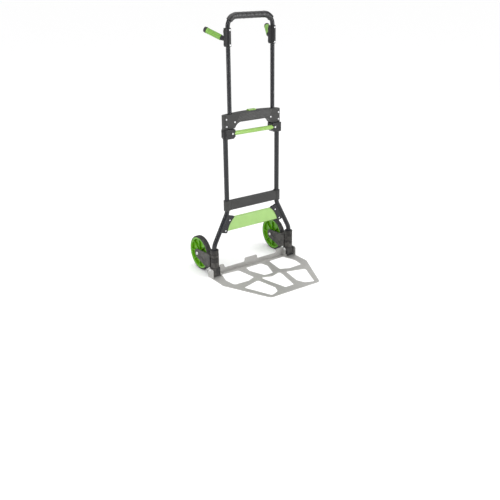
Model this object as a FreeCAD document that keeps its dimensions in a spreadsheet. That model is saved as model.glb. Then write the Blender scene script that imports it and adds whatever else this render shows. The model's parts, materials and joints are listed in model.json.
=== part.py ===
import FreeCAD, Part
import math
import os
import Sketcher

# Folding hand truck.  +X is the right-hand side seen from the front, the toe plate points to -Y,
# +Z is up.  The origin is on the ground, midway between the two feet, below the tube plane.

V = FreeCAD.Vector
doc = FreeCAD.newDocument("HandTruck")

# ---------------------------------------------------------------- driving dimensions, mm and deg
SIZES = {
    # tubes
    "lower_half": 140, "upper_half": 115, "foot_half": 215,
    "lower_rad": 11, "upper_rad": 9.5, "tube_wall": 1.5,
    "lower_top": 738, "foot_bottom": 48, "splay_high": 298, "splay_low": 152, "splay_bend": 60,
    "upper_bottom": 645, "grip_height": 1145, "handle_bend": 44,
    "foam_rad": 14, "foam_arc": 35,
    # lower crossbar
    "cross_low": 311, "cross_high": 354, "cross_deep": 10.5, "cross_sleeve": 15.5,
    "cross_wall": 3, "cross_hollow": 106, "cross_screw": 116, "cross_screw_rad": 2,
    "cross_head_rad": 3.6, "cross_head_high": 2,
    # upper housing
    "house_low": 682, "house_mid": 707, "house_high": 746, "house_deep": 14,
    "house_wall": 3.5, "house_floor": 4, "house_hollow": 88, "bush_wall": 2, "bush_long": 30,
    "leg_inner": 96, "arch_inner": 68,
    "screw_high": 725, "screw_low": 694, "screw_in_x": 97, "screw_in_z": 709, "screw_rad": 2.5,
    # sliding clamps and the bar between them
    "clamp_low": 640, "clamp_high": 681, "clamp_inner": 101, "clamp_outer": 157,
    "clamp_front": 23, "clamp_rear": 17, "clamp_chamfer": 9, "bar_height": 662, "bar_rad": 9.5,
    "bar_front": 14,
    # grip collars and rear grips
    "collar_low": 1024, "collar_high": 1098, "collar_half": 12.5, "collar_rear": 12.5,
    "collar_bolt_high": 1091, "collar_bolt_low": 1031,
    "pivot_back": 20.5, "lug_rad": 7.5, "lug_thick": 10, "barrel_low": 1038, "barrel_high": 1078,
    "grip_splay": 29, "grip_tilt": 22, "grip_len": 105, "grip_rad": 13, "grip_core_rad": 8,
    "pivot_rad": 3, "pivot_head_rad": 5.5, "pivot_head_high": 2,
    # back panel and its end brackets
    "panel_low": 207, "panel_high": 273, "panel_low_half": 143, "panel_high_half": 103,
    "panel_bulge": 6, "panel_sheet": 2, "panel_lip": 8,
    # feet, forks and wheels
    "hinge_height": 38, "pin_rad": 4, "block_half": 20, "block_deep": 14, "block_low": 7,
    "sleeve_low": 50, "sleeve_high": 134, "sleeve_rad": 19.5,
    "wheel_back": 121, "wheel_rad": 82, "wheel_half": 13.5, "rim_rad": 75.5, "bead_rad": 71,
    "hub_rad": 16, "bush_rad": 9, "axle_rad": 5, "axle_head_rad": 8, "fork_gap": 17.3, "fork_arm": 5,
    # toe plate
    "sheet": 3, "plate_half": 242, "plate_rear": 19, "flange_high": 43, "flange_dip": 23,
    "ear_in": 190, "ear_out": 239, "ear_height": 46,
    # release button and latches
    "button_half": 19.5, "button_top": 754, "button_tall": 17, "button_travel": 5,
    "latch_height": 725,
    "latch_rad": 3.5,
    # running clearances, radial
    "slide_fit": 0.08, "swivel_fit": 0.06, "pin_fit": 0.04, "gap": 0.3,
}
sheet = doc.addObject("Spreadsheet::Sheet", "Sizes")
for row, (alias, number) in enumerate(SIZES.items(), start=1):
    sheet.set("A%d" % row, alias)
    sheet.set("B%d" % row, str(number))
    sheet.setAlias("B%d" % row, alias)
doc.recompute()

nodes = {}


def names(formula):
    """A formula written with bare size names, as an expression on the sheet."""
    words, word = [], ""
    for letter in str(formula) + " ":
        if letter.isalnum() or letter in "_.":
            word += letter
        else:
            words.append("Sizes." + word if word in SIZES else word)
            words.append(letter)
            word = ""
    return "".join(words).strip()


def value(formula):
    """The number that a formula gives now."""
    result = sheet.evalExpression(names(formula))
    return float(getattr(result, "Value", result))


def bind(thing, prop, formula):
    thing.setExpression(prop, names(formula))


def keep(name, thing):
    """Name a finished sub-part."""
    thing.Label = name
    nodes[name] = thing
    return thing


def place(thing, base, axis=None, angle=0):
    """Bind a solid's position, and turn it about an axis through that position."""
    if axis is not None:
        thing.Placement.Rotation = FreeCAD.Rotation(V(*axis), angle)
    for letter, formula in zip("xyz", base):
        bind(thing, ".Placement.Base." + letter, formula)
    return thing


# ---------------------------------------------------------------- solids with bound sizes
def box(name, low, high):
    """A block between two corners."""
    solid = doc.addObject("Part::Box", name)
    for prop, first, last in zip(("Length", "Width", "Height"), low, high):
        bind(solid, prop, "(%s) - (%s)" % (last, first))
    return place(solid, low)


def rod(name, radius, length, base, along="z"):
    """A cylinder from its base centre along +X, +Y or +Z."""
    solid = doc.addObject("Part::Cylinder", name)
    bind(solid, "Radius", radius)
    bind(solid, "Height", length)
    turn = {"x": ((0, 1, 0), 90), "y": ((1, 0, 0), -90), "z": (None, 0)}[along]
    return place(solid, base, *turn)


def fuse(name, *shapes):
    joined = doc.addObject("Part::MultiFuse", name)
    joined.Shapes = list(shapes)
    joined.Refine = True
    return joined


def cut(name, base, *tools):
    tool = tools[0] if len(tools) == 1 else fuse(name + "_tools", *tools)
    result = doc.addObject("Part::Cut", name)
    result.Base = base
    result.Tool = tool
    return result


def common(name, first, second):
    result = doc.addObject("Part::Common", name)
    result.Base = first
    result.Tool = second
    return result


def tube(name, outer, inner, length, base, along="z"):
    shell = rod(name + "_outer", outer, length, base, along)
    hollow = rod(name + "_bore", inner, length, base, along)
    return cut(name, shell, hollow)


def group(name, solids):
    """Separate loose solids that share one node."""
    bundle = doc.addObject("Part::Compound", name)
    bundle.Links = solids
    return keep(name, bundle)


def mirrored(name, source):
    """The same piece on the other side of the truck."""
    twin = doc.addObject("Part::Mirroring", name)
    twin.Source = source
    twin.Normal = V(1, 0, 0)
    return twin


def both(name, source):
    """One node for two loose pieces of the same body, one on each side."""
    return group(name, [source, mirrored(name + "_twin", source)])


def pair(name, source):
    """Keep a right-hand piece and its left-hand twin."""
    keep(name + "_right", source)
    return keep(name + "_left", mirrored(name + "_left", source))


# ---------------------------------------------------------------- sketched pieces
def new_body(name):
    return doc.addObject("PartDesign::Body", name)


def new_sketch(body, plane, name, offset="0"):
    """A sketch on one of the body's own origin planes, moved along its normal."""
    sketch = body.newObject("Sketcher::SketchObject", name)
    support = [f for f in body.Origin.OriginFeatures if f.Role == plane][0]
    sketch.AttachmentSupport = [(support, "")]
    sketch.MapMode = "FlatFace"
    bind(sketch, ".AttachmentOffset.Base.z", offset)
    return sketch


def fix_point(sketch, geometry, corner, point):
    """Bind the two coordinates of a sketch point to formulas."""
    for kind, formula in zip(("DistanceX", "DistanceY"), point):
        index = sketch.addConstraint(Sketcher.Constraint(kind, geometry, corner, value(formula)))
        bind(sketch, "Constraints[%d]" % index, formula)


def end_at(sketch, geometry, spot):
    """Which end of a sketch edge, 1 or 2, lies at a point."""
    return 1 if (sketch.getPoint(geometry, 1) - spot).Length < 1e-6 else 2


def outline(sketch, points):
    """A closed outline.  A point is (u, v), or ((u, v), (u, v)): the middle of an arc that leads to
    the corner, and the corner."""
    corners = [p[1] if isinstance(p[0], tuple) else p for p in points]
    middles = [p[0] if isinstance(p[0], tuple) else None for p in points]
    spots = [V(value(u), value(w), 0) for u, w in corners]
    start = sketch.GeometryCount
    for index, middle in enumerate(middles):
        first, last = spots[index - 1], spots[index]
        if middle is None:
            sketch.addGeometry(Part.LineSegment(first, last), False)
        else:
            by = V(value(middle[0]), value(middle[1]), 0)
            sketch.addGeometry(Part.Arc(first, by, last), False)
    for index, middle in enumerate(middles):
        this, after = start + index, start + (index + 1) % len(points)
        end = end_at(sketch, this, spots[index])
        sketch.addConstraint(Sketcher.Constraint(
            "Coincident", this, end, after, end_at(sketch, after, spots[index])))
        fix_point(sketch, this, end, corners[index])
        if middle is not None:
            sketch.addConstraint(Sketcher.Constraint("Radius", this, sketch.Geometry[this].Radius))
    return sketch


def circle(sketch, centre, radius):
    index = sketch.addGeometry(
        Part.Circle(V(value(centre[0]), value(centre[1]), 0), V(0, 0, 1), value(radius)), False)
    fix_point(sketch, index, 3, centre)
    ring = sketch.addConstraint(Sketcher.Constraint("Radius", index, value(radius)))
    bind(sketch, "Constraints[%d]" % ring, radius)
    return sketch


def pad(body, sketch, length):
    feature = body.newObject("PartDesign::Pad", sketch.Name + "_pad")
    feature.Profile = sketch
    bind(feature, "Length", length)
    return feature


def pocket_up(body, sketch, length):
    """Cut an opening from the sketch along its normal."""
    feature = body.newObject("PartDesign::Pocket", sketch.Name + "_pocket")
    feature.Profile = sketch
    feature.Reversed = True
    bind(feature, "Length", length)
    return feature


def plate(name, plane, points, start, thick):
    """One padded outline; start and thick are measured along the plane's normal."""
    body = new_body(name)
    sketch = outline(new_sketch(body, plane, name + "_outline", start), points)
    pad(body, sketch, thick)
    return body


def flip(point):
    return "-(%s)" % point[0], point[1]


def with_twin(points, crown=None):
    """Close an outline drawn for x > 0 with its reflection.  crown is the middle of an arc that
    joins the two halves."""
    corners = [p[1] if isinstance(p[0], tuple) else p for p in points]
    middles = [p[0] if isinstance(p[0], tuple) else None for p in points]
    twin = [(crown, flip(corners[-1])) if crown else flip(corners[-1])]
    for corner, middle in zip(reversed(corners[:-1]), reversed(middles)):
        twin.append((flip(middle), flip(corner)) if middle else flip(corner))
    return points + twin


def spun(name, points):
    """A ring turned from an outline of (distance along the axis, radius) about its own X axis."""
    body = new_body(name)
    sketch = outline(new_sketch(body, "XY_Plane", name + "_outline"), points)
    feature = body.newObject("PartDesign::Revolution", name + "_turn")
    feature.Profile = sketch
    feature.ReferenceAxis = (sketch, ["H_Axis"])
    feature.Angle = 360
    doc.recompute()
    return body


def edges(shape, test):
    """Names of the edges whose two ends pass a test."""
    found = []
    for number, edge in enumerate(shape.Edges, start=1):
        ends = [vertex.Point for vertex in edge.Vertexes]
        if len(ends) == 2 and test(ends[0], ends[1]):
            found.append("Edge%d" % number)
    return found


def round_edges(body, radius, test):
    """Round the edges of a body's last feature that pass a test."""
    doc.recompute()
    feature = body.newObject("PartDesign::Fillet", "%s_round%d" % (body.Name, len(body.Group)))
    base = body.Tip if body.Tip is not feature else feature.BaseFeature
    feature.Base = (base, edges(base.Shape, test))
    bind(feature, "Radius", radius)
    doc.recompute()
    return feature


def upright(first, second):
    return abs(first.x - second.x) < 1e-6 and abs(first.y - second.y) < 1e-6


# ---------------------------------------------------------------- bent tubes
def bent_run(sketch, start, steps):
    """A run that starts with a line.  Each step is ("line" or "arc", end point), and an arc leaves
    its start along the line before it."""
    at = V(value(start[0]), value(start[1]), 0)
    spots = [at] + [V(value(u), value(w), 0) for kind, (u, w) in steps]
    for index, (kind, end) in enumerate(steps):
        first, last = spots[index], spots[index + 1]
        if kind == "line":
            sketch.addGeometry(Part.LineSegment(first, last), False)
        else:
            heading = first - spots[index - 1]
            heading.normalize()
            chord = last - first
            side = V(-heading.y, heading.x, 0)
            swing = chord.dot(chord) / (2 * chord.dot(side))
            centre = first + side * swing
            middle = (first + last) * 0.5 - centre
            middle.normalize()
            sketch.addGeometry(Part.Arc(first, centre + middle * abs(swing), last), False)
    fix_point(sketch, 0, end_at(sketch, 0, spots[0]), start)
    for index, (kind, end) in enumerate(steps):
        fix_point(sketch, index, end_at(sketch, index, spots[index + 1]), end)
        if index:
            sketch.addConstraint(Sketcher.Constraint(
                "Tangent" if kind == "arc" else "Coincident",
                index - 1, end_at(sketch, index - 1, spots[index]),
                index, end_at(sketch, index, spots[index])))
    return sketch


def pipe(name, start, steps, centre, level, rings):
    """A round section swept along a run in the XZ plane, from a section at a given height."""
    body = new_body(name)
    route = bent_run(new_sketch(body, "XZ_Plane", name + "_route"), start, steps)
    section = new_sketch(body, "XY_Plane", name + "_section", level)
    for radius in rings:
        circle(section, centre, radius)
    sweep = body.newObject("PartDesign::AdditivePipe", name + "_sweep")
    sweep.Profile = section
    sweep.Spine = (route, ["Edge%d" % (n + 1) for n in range(len(steps))])
    return body


# ================================================================ lower frame
SPLAY = "atan((foot_half - lower_half) / (splay_high - splay_low))"
REACH = "splay_bend * tan(" + SPLAY + " / 2)"
frame_tube = pipe(
    "frame_tube", ("lower_half", "lower_top"),
    [("line", ("lower_half", "splay_high + " + REACH)),
     ("arc", ("lower_half + %s * sin(%s)" % (REACH, SPLAY),
              "splay_high - %s * cos(%s)" % (REACH, SPLAY))),
     ("line", ("foot_half - %s * sin(%s)" % (REACH, SPLAY),
               "splay_low + %s * cos(%s)" % (REACH, SPLAY))),
     ("arc", ("foot_half", "splay_low - " + REACH)),
     ("line", ("foot_half", "foot_bottom"))],
    ("lower_half", "0"), "lower_top", ("lower_rad", "lower_rad - tube_wall"))
tube_holes = [rod("tube_hole_" + level, "screw_rad", "4 * lower_rad",
                  ("lower_half", "-2 * lower_rad", level), "y")
              for level in ("screw_high", "screw_low")]
FOOT_PIN = "sleeve_low + 18"
tube_holes.append(rod("tube_hole_foot", "2.5", "4 * lower_rad",
                      ("foot_half - 2 * lower_rad", "0", FOOT_PIN), "x"))
pair("lower_tube", cut("lower_tube", frame_tube, *tube_holes))

# crossbar: two half shells clamped round both tubes
beam = fuse("beam", box("beam_bar", ("-lower_half", "-cross_deep", "cross_low"),
                        ("lower_half", "cross_deep", "cross_high")),
            rod("beam_end_r", "cross_sleeve", "cross_high - cross_low + 4",
                ("lower_half", "0", "cross_low - 1")),
            rod("beam_end_l", "cross_sleeve", "cross_high - cross_low + 4",
                ("-lower_half", "0", "cross_low - 1")))
beam_bores = [rod("beam_bore_%d" % side, "lower_rad", "100",
                  ("%d * lower_half" % side, "0", "cross_low - 20")) for side in (1, -1)]
beam_hollow = box("beam_hollow",
                  ("-cross_hollow", "cross_wall - cross_deep", "cross_low + cross_wall"),
                  ("cross_hollow", "cross_deep - cross_wall", "cross_high - cross_wall"))
CROSS_MIDDLE = "(cross_low + cross_high) / 2"
CROSS_SHANK = ("cross_screw_rad", "2 * cross_deep - 4")
beam_screw_holes = [rod("beam_screw_hole_%d" % side, *CROSS_SHANK,
                        ("%d * cross_screw" % side, "4 - cross_deep", CROSS_MIDDLE), "y")
                    for side in (1, -1)]
hollow_beam = cut("hollow_beam", beam, *(beam_bores + [beam_hollow] + beam_screw_holes))
for name, low, high in (("crossbar_front", "-40", "0"), ("crossbar_rear", "0", "40")):
    half = box(name + "_half", ("-200", low, "cross_low - 20"), ("200", high, "cross_high + 20"))
    keep(name, common(name, hollow_beam, half))
group("crossbar_screws", [
    fuse("crossbar_screw_%d" % side,
         rod("crossbar_head_%d" % side, "cross_head_rad", "cross_head_high",
             ("%d * cross_screw" % side, "cross_deep", CROSS_MIDDLE), "y"),
         rod("crossbar_shank_%d" % side, *CROSS_SHANK,
             ("%d * cross_screw" % side, "4 - cross_deep", CROSS_MIDDLE), "y"))
    for side in (1, -1)])

# back panel: one sheet with its long edges rolled to the rear, ends cut to an arc
LIP_IN = "panel_lip - 1"
profile = plate("panel_profile", "YZ_Plane", [
    (("0.6 - panel_sheet / 2", "panel_low + 3.4"), ("-panel_sheet", "panel_low + 11")),
    ("-panel_sheet", "panel_high - 11"),
    (("0.6 - panel_sheet / 2", "panel_high - 3.4"), (LIP_IN, "panel_high")),
    (LIP_IN, "panel_high - panel_sheet"),
    (("1.9", "panel_high - 5.2"), ("0", "panel_high - 11")), ("0", "panel_low + 11"),
    (("1.9", "panel_low + 5.2"), (LIP_IN, "panel_low + panel_sheet")), (LIP_IN, "panel_low")],
    "-200", "400")
END_X = "(panel_low_half + panel_high_half) / 2 + panel_bulge"
END_Z = "(panel_low + panel_high) / 2 + 3"
face = plate("panel_face", "XZ_Plane", with_twin([
    ("panel_low_half", "panel_low"), ((END_X, END_Z), ("panel_high_half", "panel_high"))]),
    "-20", "40")
keep("back_panel", common("back_panel", profile, face))

bracket_web = plate("bracket_web", "XZ_Plane", [
    ("panel_high_half + 4", "panel_high + 5"), ("lower_half - 2", "splay_high - 11"),
    ("lower_half + 2", "splay_high - 4"), ("foot_half - 28", "panel_low - 1"),
    ("foot_half - 38", "panel_low + 2"), ("panel_low_half + 7", "panel_low - 6"),
    ("panel_low_half + 0.3", "panel_low"),
    ((END_X + " + 0.3", END_Z + " + 0.2"), ("panel_high_half + 0.3", "panel_high"))],
    "-5", "10")
bracket_tongue = plate("bracket_tongue", "XZ_Plane", [
    ("panel_high_half - 4", "panel_high - 14"), ("panel_high_half + 26", "panel_high - 14"),
    ("panel_low_half + 12", "panel_low + 14"), ("panel_low_half - 26", "panel_low + 14")],
    "-4", "4")
splayed = rod("splayed_tube", "lower_rad", "260", ("foot_half + 36", "0", "splay_low - 70"))
splayed.Placement.Rotation = FreeCAD.Rotation(V(0, 1, 0), -value(SPLAY))
RUN = "(foot_half - lower_half) / (splay_high - splay_low)"
bind(splayed, ".Placement.Base.x", "foot_half + 70 * " + RUN)
RIVETS = [("upper_half + 14.5", "panel_high - 12"), ("lower_half + 14", "panel_low + 7")]
rivet_holes = [rod("rivet_hole_%d" % n, "2", "20", (x, "-10", z), "y")
               for n, (x, z) in enumerate(RIVETS)]
bracket = cut("panel_bracket", fuse("bracket_blank", bracket_web, bracket_tongue),
              splayed, *rivet_holes)
pair("panel_bracket", bracket)
rivets = []
for side in (1, -1):
    for n, (x, z) in enumerate(RIVETS):
        at = "%d * (%s)" % (side, x)
        rivets.append(fuse("rivet_%d_%d" % (side, n),
                           rod("rivet_head_%d_%d" % (side, n), "3.6", "1.8", (at, "-6.8", z), "y"),
                           rod("rivet_shank_%d_%d" % (side, n), "2", "10", (at, "-5", z), "y"),
                           rod("rivet_tail_%d_%d" % (side, n), "3.2", "1.2", (at, "5", z), "y")))
group("panel_rivets", rivets)

# ---------------------------------------------------------------- upper housing
house_face = plate("house_face", "XZ_Plane", with_twin([
    ("arch_inner", "house_mid"),
    (("arch_inner + 17", "house_mid - 8"), ("leg_inner", "house_low + 3")),
    ("leg_inner + 6", "house_low"), ("lower_half + 13", "house_low"),
    ("lower_half + 20", "house_low + 4"), ("lower_half + 20", "house_high - 8"),
    ("lower_half + 11", "house_high - 4")], crown=("0", "house_high + 3")), "-30", "60")
house_plan = fuse("house_plan",
                  box("house_core", ("-lower_half", "-house_deep", "house_low - 5"),
                      ("lower_half", "house_deep", "house_high + 10")),
                  *[rod("house_end_%d" % side, "house_deep", "house_high - house_low + 15",
                        ("%d * lower_half" % side, "0", "house_low - 5")) for side in (1, -1)])
ROOF = "house_high - house_floor"
FLOOR = "house_mid + house_floor"
house_cuts = [box("house_hollow", ("-house_hollow", "house_wall - house_deep", FLOOR),
                  ("house_hollow", "house_deep - house_wall", ROOF)),
              box("button_hole", ("-button_half - 0.4", "-9.4", ROOF),
                  ("button_half + 0.4", "9.4", "house_high + 20"))]
SCREWS = [("lower_half", "screw_high"), ("lower_half", "screw_low"),
          ("screw_in_x", "screw_in_z")]
screws = []
for side in (1, -1):
    key = "r" if side > 0 else "l"
    house_cuts += [
        rod("tube_seat_" + key, "lower_rad", "lower_top - house_low + 20",
            ("%d * lower_half" % side, "0", "house_low - 20")),
        rod("slide_way_" + key, "upper_rad + gap", "200",
            ("%d * upper_half" % side, "0", "house_low - 40")),
        rod("bush_seat_" + key, "upper_rad + bush_wall", "bush_long",
            ("%d * upper_half" % side, "0", "house_low + house_floor")),
        rod("latch_way_" + key, "latch_rad + gap", "40",
            ("%d * 90 - 20" % side, "0", "latch_height"), "x")]
    for n, (x, z) in enumerate(SCREWS):
        at = "%d * %s" % (side, x)
        tag = "%s%d" % (key, n)
        shank = ("screw_rad", "house_deep + 6", (at, "1 - house_deep", z), "y")
        head = ("4.2", "3.2", (at, "-1.8 - house_deep", z), "y")
        house_cuts += [rod("screw_way_" + tag, *shank), rod("head_seat_" + tag, *head)]
        screws.append(fuse("housing_screw_" + tag, rod("screw_shank_" + tag, *shank),
                           rod("screw_head_" + tag, *head)))
housing = cut("housing", common("house_blank", house_face, house_plan), *house_cuts)
stops = [box("spring_stop_" + key, (low, "-house_deep + 1", FLOOR),
             (high, "3", "latch_height + 6"))
         for key, low, high in (("r", "21", "24"), ("l", "-24", "-21"))]
halves = {"housing_front": box("front_half", ("-300", "-60", "600"), ("300", "0", "800")),
          "housing_rear": box("rear_half", ("-300", "0", "600"), ("300", "60", "800"))}
front_shell = common("front_shell", housing, halves["housing_front"])
keep("housing_front", fuse("housing_front", front_shell, *stops))
keep("housing_rear", common("housing_rear", housing, halves["housing_rear"]))
group("housing_screws", screws)
bush = tube("slide_bush", "upper_rad + bush_wall", "upper_rad + slide_fit", "bush_long",
            ("upper_half", "0", "house_low + house_floor"))
pair("slide_bush", bush)
keep("button_spring", tube("button_spring", "5", "4", "button_top - button_tall - (%s)" % FLOOR,
                           ("0", "0", FLOOR)))
both("latch_springs", tube("latch_spring", "3", "2.2", "20.6", ("24", "0", "latch_height"), "x"))

# ---------------------------------------------------------------- feet
foot = fuse("foot_blank",
            box("foot_body", ("foot_half - block_half", "-block_deep", "block_low"),
                ("foot_half + block_half", "block_deep", "foot_bottom")),
            rod("foot_boss", "9", "2 * block_half + 5.4",
                ("foot_half - block_half - 2", "0", "hinge_height"), "x"),
            rod("foot_spigot", "lower_rad - tube_wall - 0.05", "34",
                ("foot_half", "0", "foot_bottom")))
foot_block = cut("foot_block", foot,
                 rod("foot_pin_way", "pin_rad + pin_fit", "80",
                     ("foot_half - 40", "0", "hinge_height"), "x"),
                 rod("foot_cross_way", "2.5", "60", ("foot_half - 30", "0", FOOT_PIN), "x"))
pair("foot_block", foot_block)
group("foot_cross_pins", [
    rod("foot_cross_pin_%d" % side, "2.5", "2 * lower_rad - 1",
        ("%d * foot_half - lower_rad + 0.5" % side, "0", FOOT_PIN), "x") for side in (1, -1)])
both("swivel_washers", tube("swivel_washer", "17", "lower_rad + 0.1", "1.8",
                           ("foot_half", "0", "foot_bottom")))
both("retaining_rings", tube("retaining_ring", "15.5", "lower_rad + 0.02", "2",
                            ("foot_half", "0", "sleeve_high + 0.2")))

# ================================================================ telescopic handle
HANDLE_ROUTE = [("line", ("upper_half", "grip_height - handle_bend")),
                ("arc", ("upper_half - handle_bend", "grip_height")),
                ("line", ("handle_bend - upper_half", "grip_height")),
                ("arc", ("-upper_half", "grip_height - handle_bend")),
                ("line", ("-upper_half", "upper_bottom"))]
handle_pipe = pipe("handle_pipe", ("upper_half", "upper_bottom"), HANDLE_ROUTE,
                   ("upper_half", "0"), "upper_bottom", ("upper_rad", "upper_rad - tube_wall"))
handle_holes = []
for side in (1, -1):
    for level in ("latch_height", "latch_height + 275"):
        handle_holes.append(rod("lock_hole", "4", "10",
                                ("%d * (upper_half - 7) - 5" % side, "0", level), "x"))
    for level in ("collar_bolt_high", "collar_bolt_low"):
        handle_holes.append(rod("collar_hole", "2.2", "12",
                                ("%d * upper_half" % side, "-12", level), "y"))
    handle_holes.append(rod("clamp_hole", "screw_rad", "30",
                            ("%d * upper_half" % side, "-15", "bar_height"), "y"))
keep("handle_tube", cut("handle_tube", handle_pipe, *handle_holes))

# the foam covers the top bar and most of both bends, cut square to the bend
foam_pipe = pipe("foam_pipe", ("upper_half", "upper_bottom"), HANDLE_ROUTE,
                 ("upper_half", "0"), "upper_bottom", ("foam_rad", "upper_rad + 0.05"))
BEND_X = "upper_half - handle_bend"
BEND_Z = "grip_height - handle_bend"
foam_zone = plate("foam_zone", "XZ_Plane", [
    (BEND_X, BEND_Z), (BEND_X + " + 90 * cos(foam_arc)", BEND_Z + " + 90 * sin(foam_arc)"),
    ("upper_half + 60", "grip_height + 40"), ("-upper_half - 60", "grip_height + 40"),
    ("-(%s) - 90 * cos(foam_arc)" % BEND_X, BEND_Z + " + 90 * sin(foam_arc)"),
    ("-(%s)" % BEND_X, BEND_Z)], "-30", "60")
keep("foam_grip", common("foam_grip", foam_pipe, foam_zone))

# ---------------------------------------------------------------- sliding clamps and their bar
clamp_blank = plate("clamp_blank", "XZ_Plane", [
    ("clamp_inner", "clamp_low + clamp_chamfer"),
    ("clamp_inner + clamp_chamfer", "clamp_low"), ("clamp_outer - clamp_chamfer", "clamp_low"),
    ("clamp_outer", "clamp_low + clamp_chamfer"), ("clamp_outer", "clamp_high - clamp_chamfer"),
    ("clamp_outer - clamp_chamfer", "clamp_high"), ("clamp_inner + 3", "clamp_high"),
    ("clamp_inner", "clamp_high - 3")], "-clamp_rear", "clamp_front + clamp_rear")
clamp_plan = fuse("clamp_plan",
                  box("clamp_plan_box", ("clamp_inner - 1", "-clamp_front", "clamp_low - 1"),
                      ("lower_half", "clamp_rear", "clamp_high + 1")),
                  rod("clamp_plan_round", "clamp_rear", "clamp_high - clamp_low + 2",
                      ("lower_half", "0", "clamp_low - 1")),
                  box("clamp_plan_nose", ("lower_half - 5", "-clamp_front", "clamp_low - 1"),
                      ("lower_half + 8", "0", "clamp_high + 1")))
BAR_REACH = "clamp_inner + 4"
clamp = cut("clamp", common("clamp_solid", clamp_blank, clamp_plan),
            rod("clamp_upper_bore", "upper_rad", "60", ("upper_half", "0", "upper_bottom")),
            rod("clamp_bush_bore", "lower_rad + 1.6", "80",
                ("lower_half", "0", "clamp_low - 20")),
            rod("clamp_bar_seat", "bar_rad", "20",
                (BAR_REACH + " - 20", "-bar_front", "bar_height"), "x"),
            rod("clamp_screw_way", "screw_rad", "clamp_front + 12",
                ("upper_half", "-clamp_front", "bar_height"), "y"))
pair("clamp", clamp)
pair("clamp_bush", tube("clamp_bush", "lower_rad + 1.6", "lower_rad + slide_fit",
                        "clamp_high - clamp_low", ("lower_half", "0", "clamp_low")))
group("clamp_screws", [
    fuse("clamp_screw_%d" % side,
         rod("clamp_head_%d" % side, "4.4", "2.2",
             ("%d * upper_half" % side, "-clamp_front - 2.2", "bar_height"), "y"),
         rod("clamp_shank_%d" % side, "screw_rad", "clamp_front + 12",
             ("%d * upper_half" % side, "-clamp_front", "bar_height"), "y"))
    for side in (1, -1)])
keep("cross_bar", tube("cross_bar", "bar_rad", "bar_rad - 2", "2 * (%s)" % BAR_REACH,
                       ("-(%s)" % BAR_REACH, "-bar_front", "bar_height"), "x"))

# ---------------------------------------------------------------- grip collars
collar_core = fuse("collar_core",
                   box("collar_block", ("upper_half - collar_half", "-5", "collar_low"),
                       ("upper_half + collar_half", "collar_rear", "collar_high")),
                   rod("collar_front", "collar_half", "collar_high - collar_low",
                       ("upper_half", "-2", "collar_low")),
                   box("collar_strip", ("upper_half - 5", "-17", "collar_low + 1.5"),
                       ("upper_half + 5", "-8", "collar_high - 1.5")))
lugs = []
for tag, level in (("low", "barrel_low - gap - lug_thick"), ("high", "barrel_high + gap")):
    lugs += [rod("lug_" + tag, "lug_rad", "lug_thick", ("upper_half", "pivot_back", level)),
             box("lug_neck_" + tag, ("upper_half - lug_rad", "5", level),
                 ("upper_half + lug_rad", "pivot_back", level + " + lug_thick"))]
BOLT_LEVELS = ("collar_bolt_high", "collar_bolt_low")
collar = cut("grip_collar", fuse("collar_blank", collar_core, *lugs),
             rod("collar_bore", "upper_rad", "120", ("upper_half", "0", "collar_low - 10")),
             rod("collar_pivot_way", "pivot_rad", "90",
                 ("upper_half", "pivot_back", "collar_low - 10")),
             *[rod("collar_way_" + level, "2.2", "12", ("upper_half", "-17", level), "y")
               for level in BOLT_LEVELS])
pair("grip_collar", collar)
group("collar_bolts", [
    fuse("collar_bolt",
         rod("collar_head", "3.8", "2", ("%d * upper_half" % side, "-19", level), "y"),
         rod("collar_shank", "2.2", "12", ("%d * upper_half" % side, "-17", level), "y"))
    for side in (1, -1) for level in BOLT_LEVELS])
both("grip_pivots", fuse(
    "grip_pivot",
    rod("grip_pivot_pin", "pivot_rad", "barrel_high - barrel_low + 2 * lug_thick + 2.6",
        ("upper_half", "pivot_back", "barrel_low - gap - lug_thick - 1")),
    rod("grip_pivot_head", "pivot_head_rad", "pivot_head_high",
        ("upper_half", "pivot_back", "barrel_high + gap + lug_thick"))))

# ---------------------------------------------------------------- swinging rear grips
AIM = ("sin(grip_splay) * cos(grip_tilt)", "cos(grip_splay) * cos(grip_tilt)", "sin(grip_tilt)")
AIM_VECTOR = V(*[value(part) for part in AIM])
ROOT_LEVEL = "barrel_low + 13"


def along_grip(name, radius, first, last, end_radius=None):
    """A round length of the grip between two distances from its pivot axis."""
    solid = doc.addObject("Part::Cone" if end_radius else "Part::Cylinder", name)
    if end_radius:
        bind(solid, "Radius1", radius)
        bind(solid, "Radius2", end_radius)
    else:
        bind(solid, "Radius", radius)
    bind(solid, "Height", "%s - (%s)" % (last, first))
    place(solid, ["%s + (%s) * %s" % (start, first, part)
                  for start, part in zip(("upper_half", "pivot_back", ROOT_LEVEL), AIM)])
    solid.Placement.Rotation = FreeCAD.Rotation(V(0, 0, 1), AIM_VECTOR)
    return solid


GRIP_START = "20"
GRIP_END = "grip_len - 12"
CORE_START = "12"
CORE_END = "grip_len - 3"
pair("grip_arm", cut(
    "grip_arm",
    fuse("grip_arm_blank",
         rod("grip_barrel", "lug_rad - 0.5", "barrel_high - barrel_low",
             ("upper_half", "pivot_back", "barrel_low")),
         along_grip("grip_neck", "lug_rad - 0.5", "2", GRIP_START, "grip_rad - 2"),
         along_grip("grip_core", "grip_core_rad", CORE_START, CORE_END)),
    rod("grip_barrel_way", "pivot_rad + swivel_fit", "90",
        ("upper_half", "pivot_back", "barrel_low - 20"))))
pair("hand_grip", cut("hand_grip",
                      along_grip("hand_grip_skin", "grip_rad - 1", GRIP_START, GRIP_END),
                      along_grip("hand_grip_bore", "grip_core_rad", CORE_START, "grip_len")))
pair("grip_cap", cut("grip_cap",
                     along_grip("grip_cap_skin", "grip_rad", GRIP_END, "grip_len", "grip_rad - 1.5"),
                     along_grip("grip_cap_bore", "grip_core_rad", CORE_START, CORE_END)))

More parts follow.
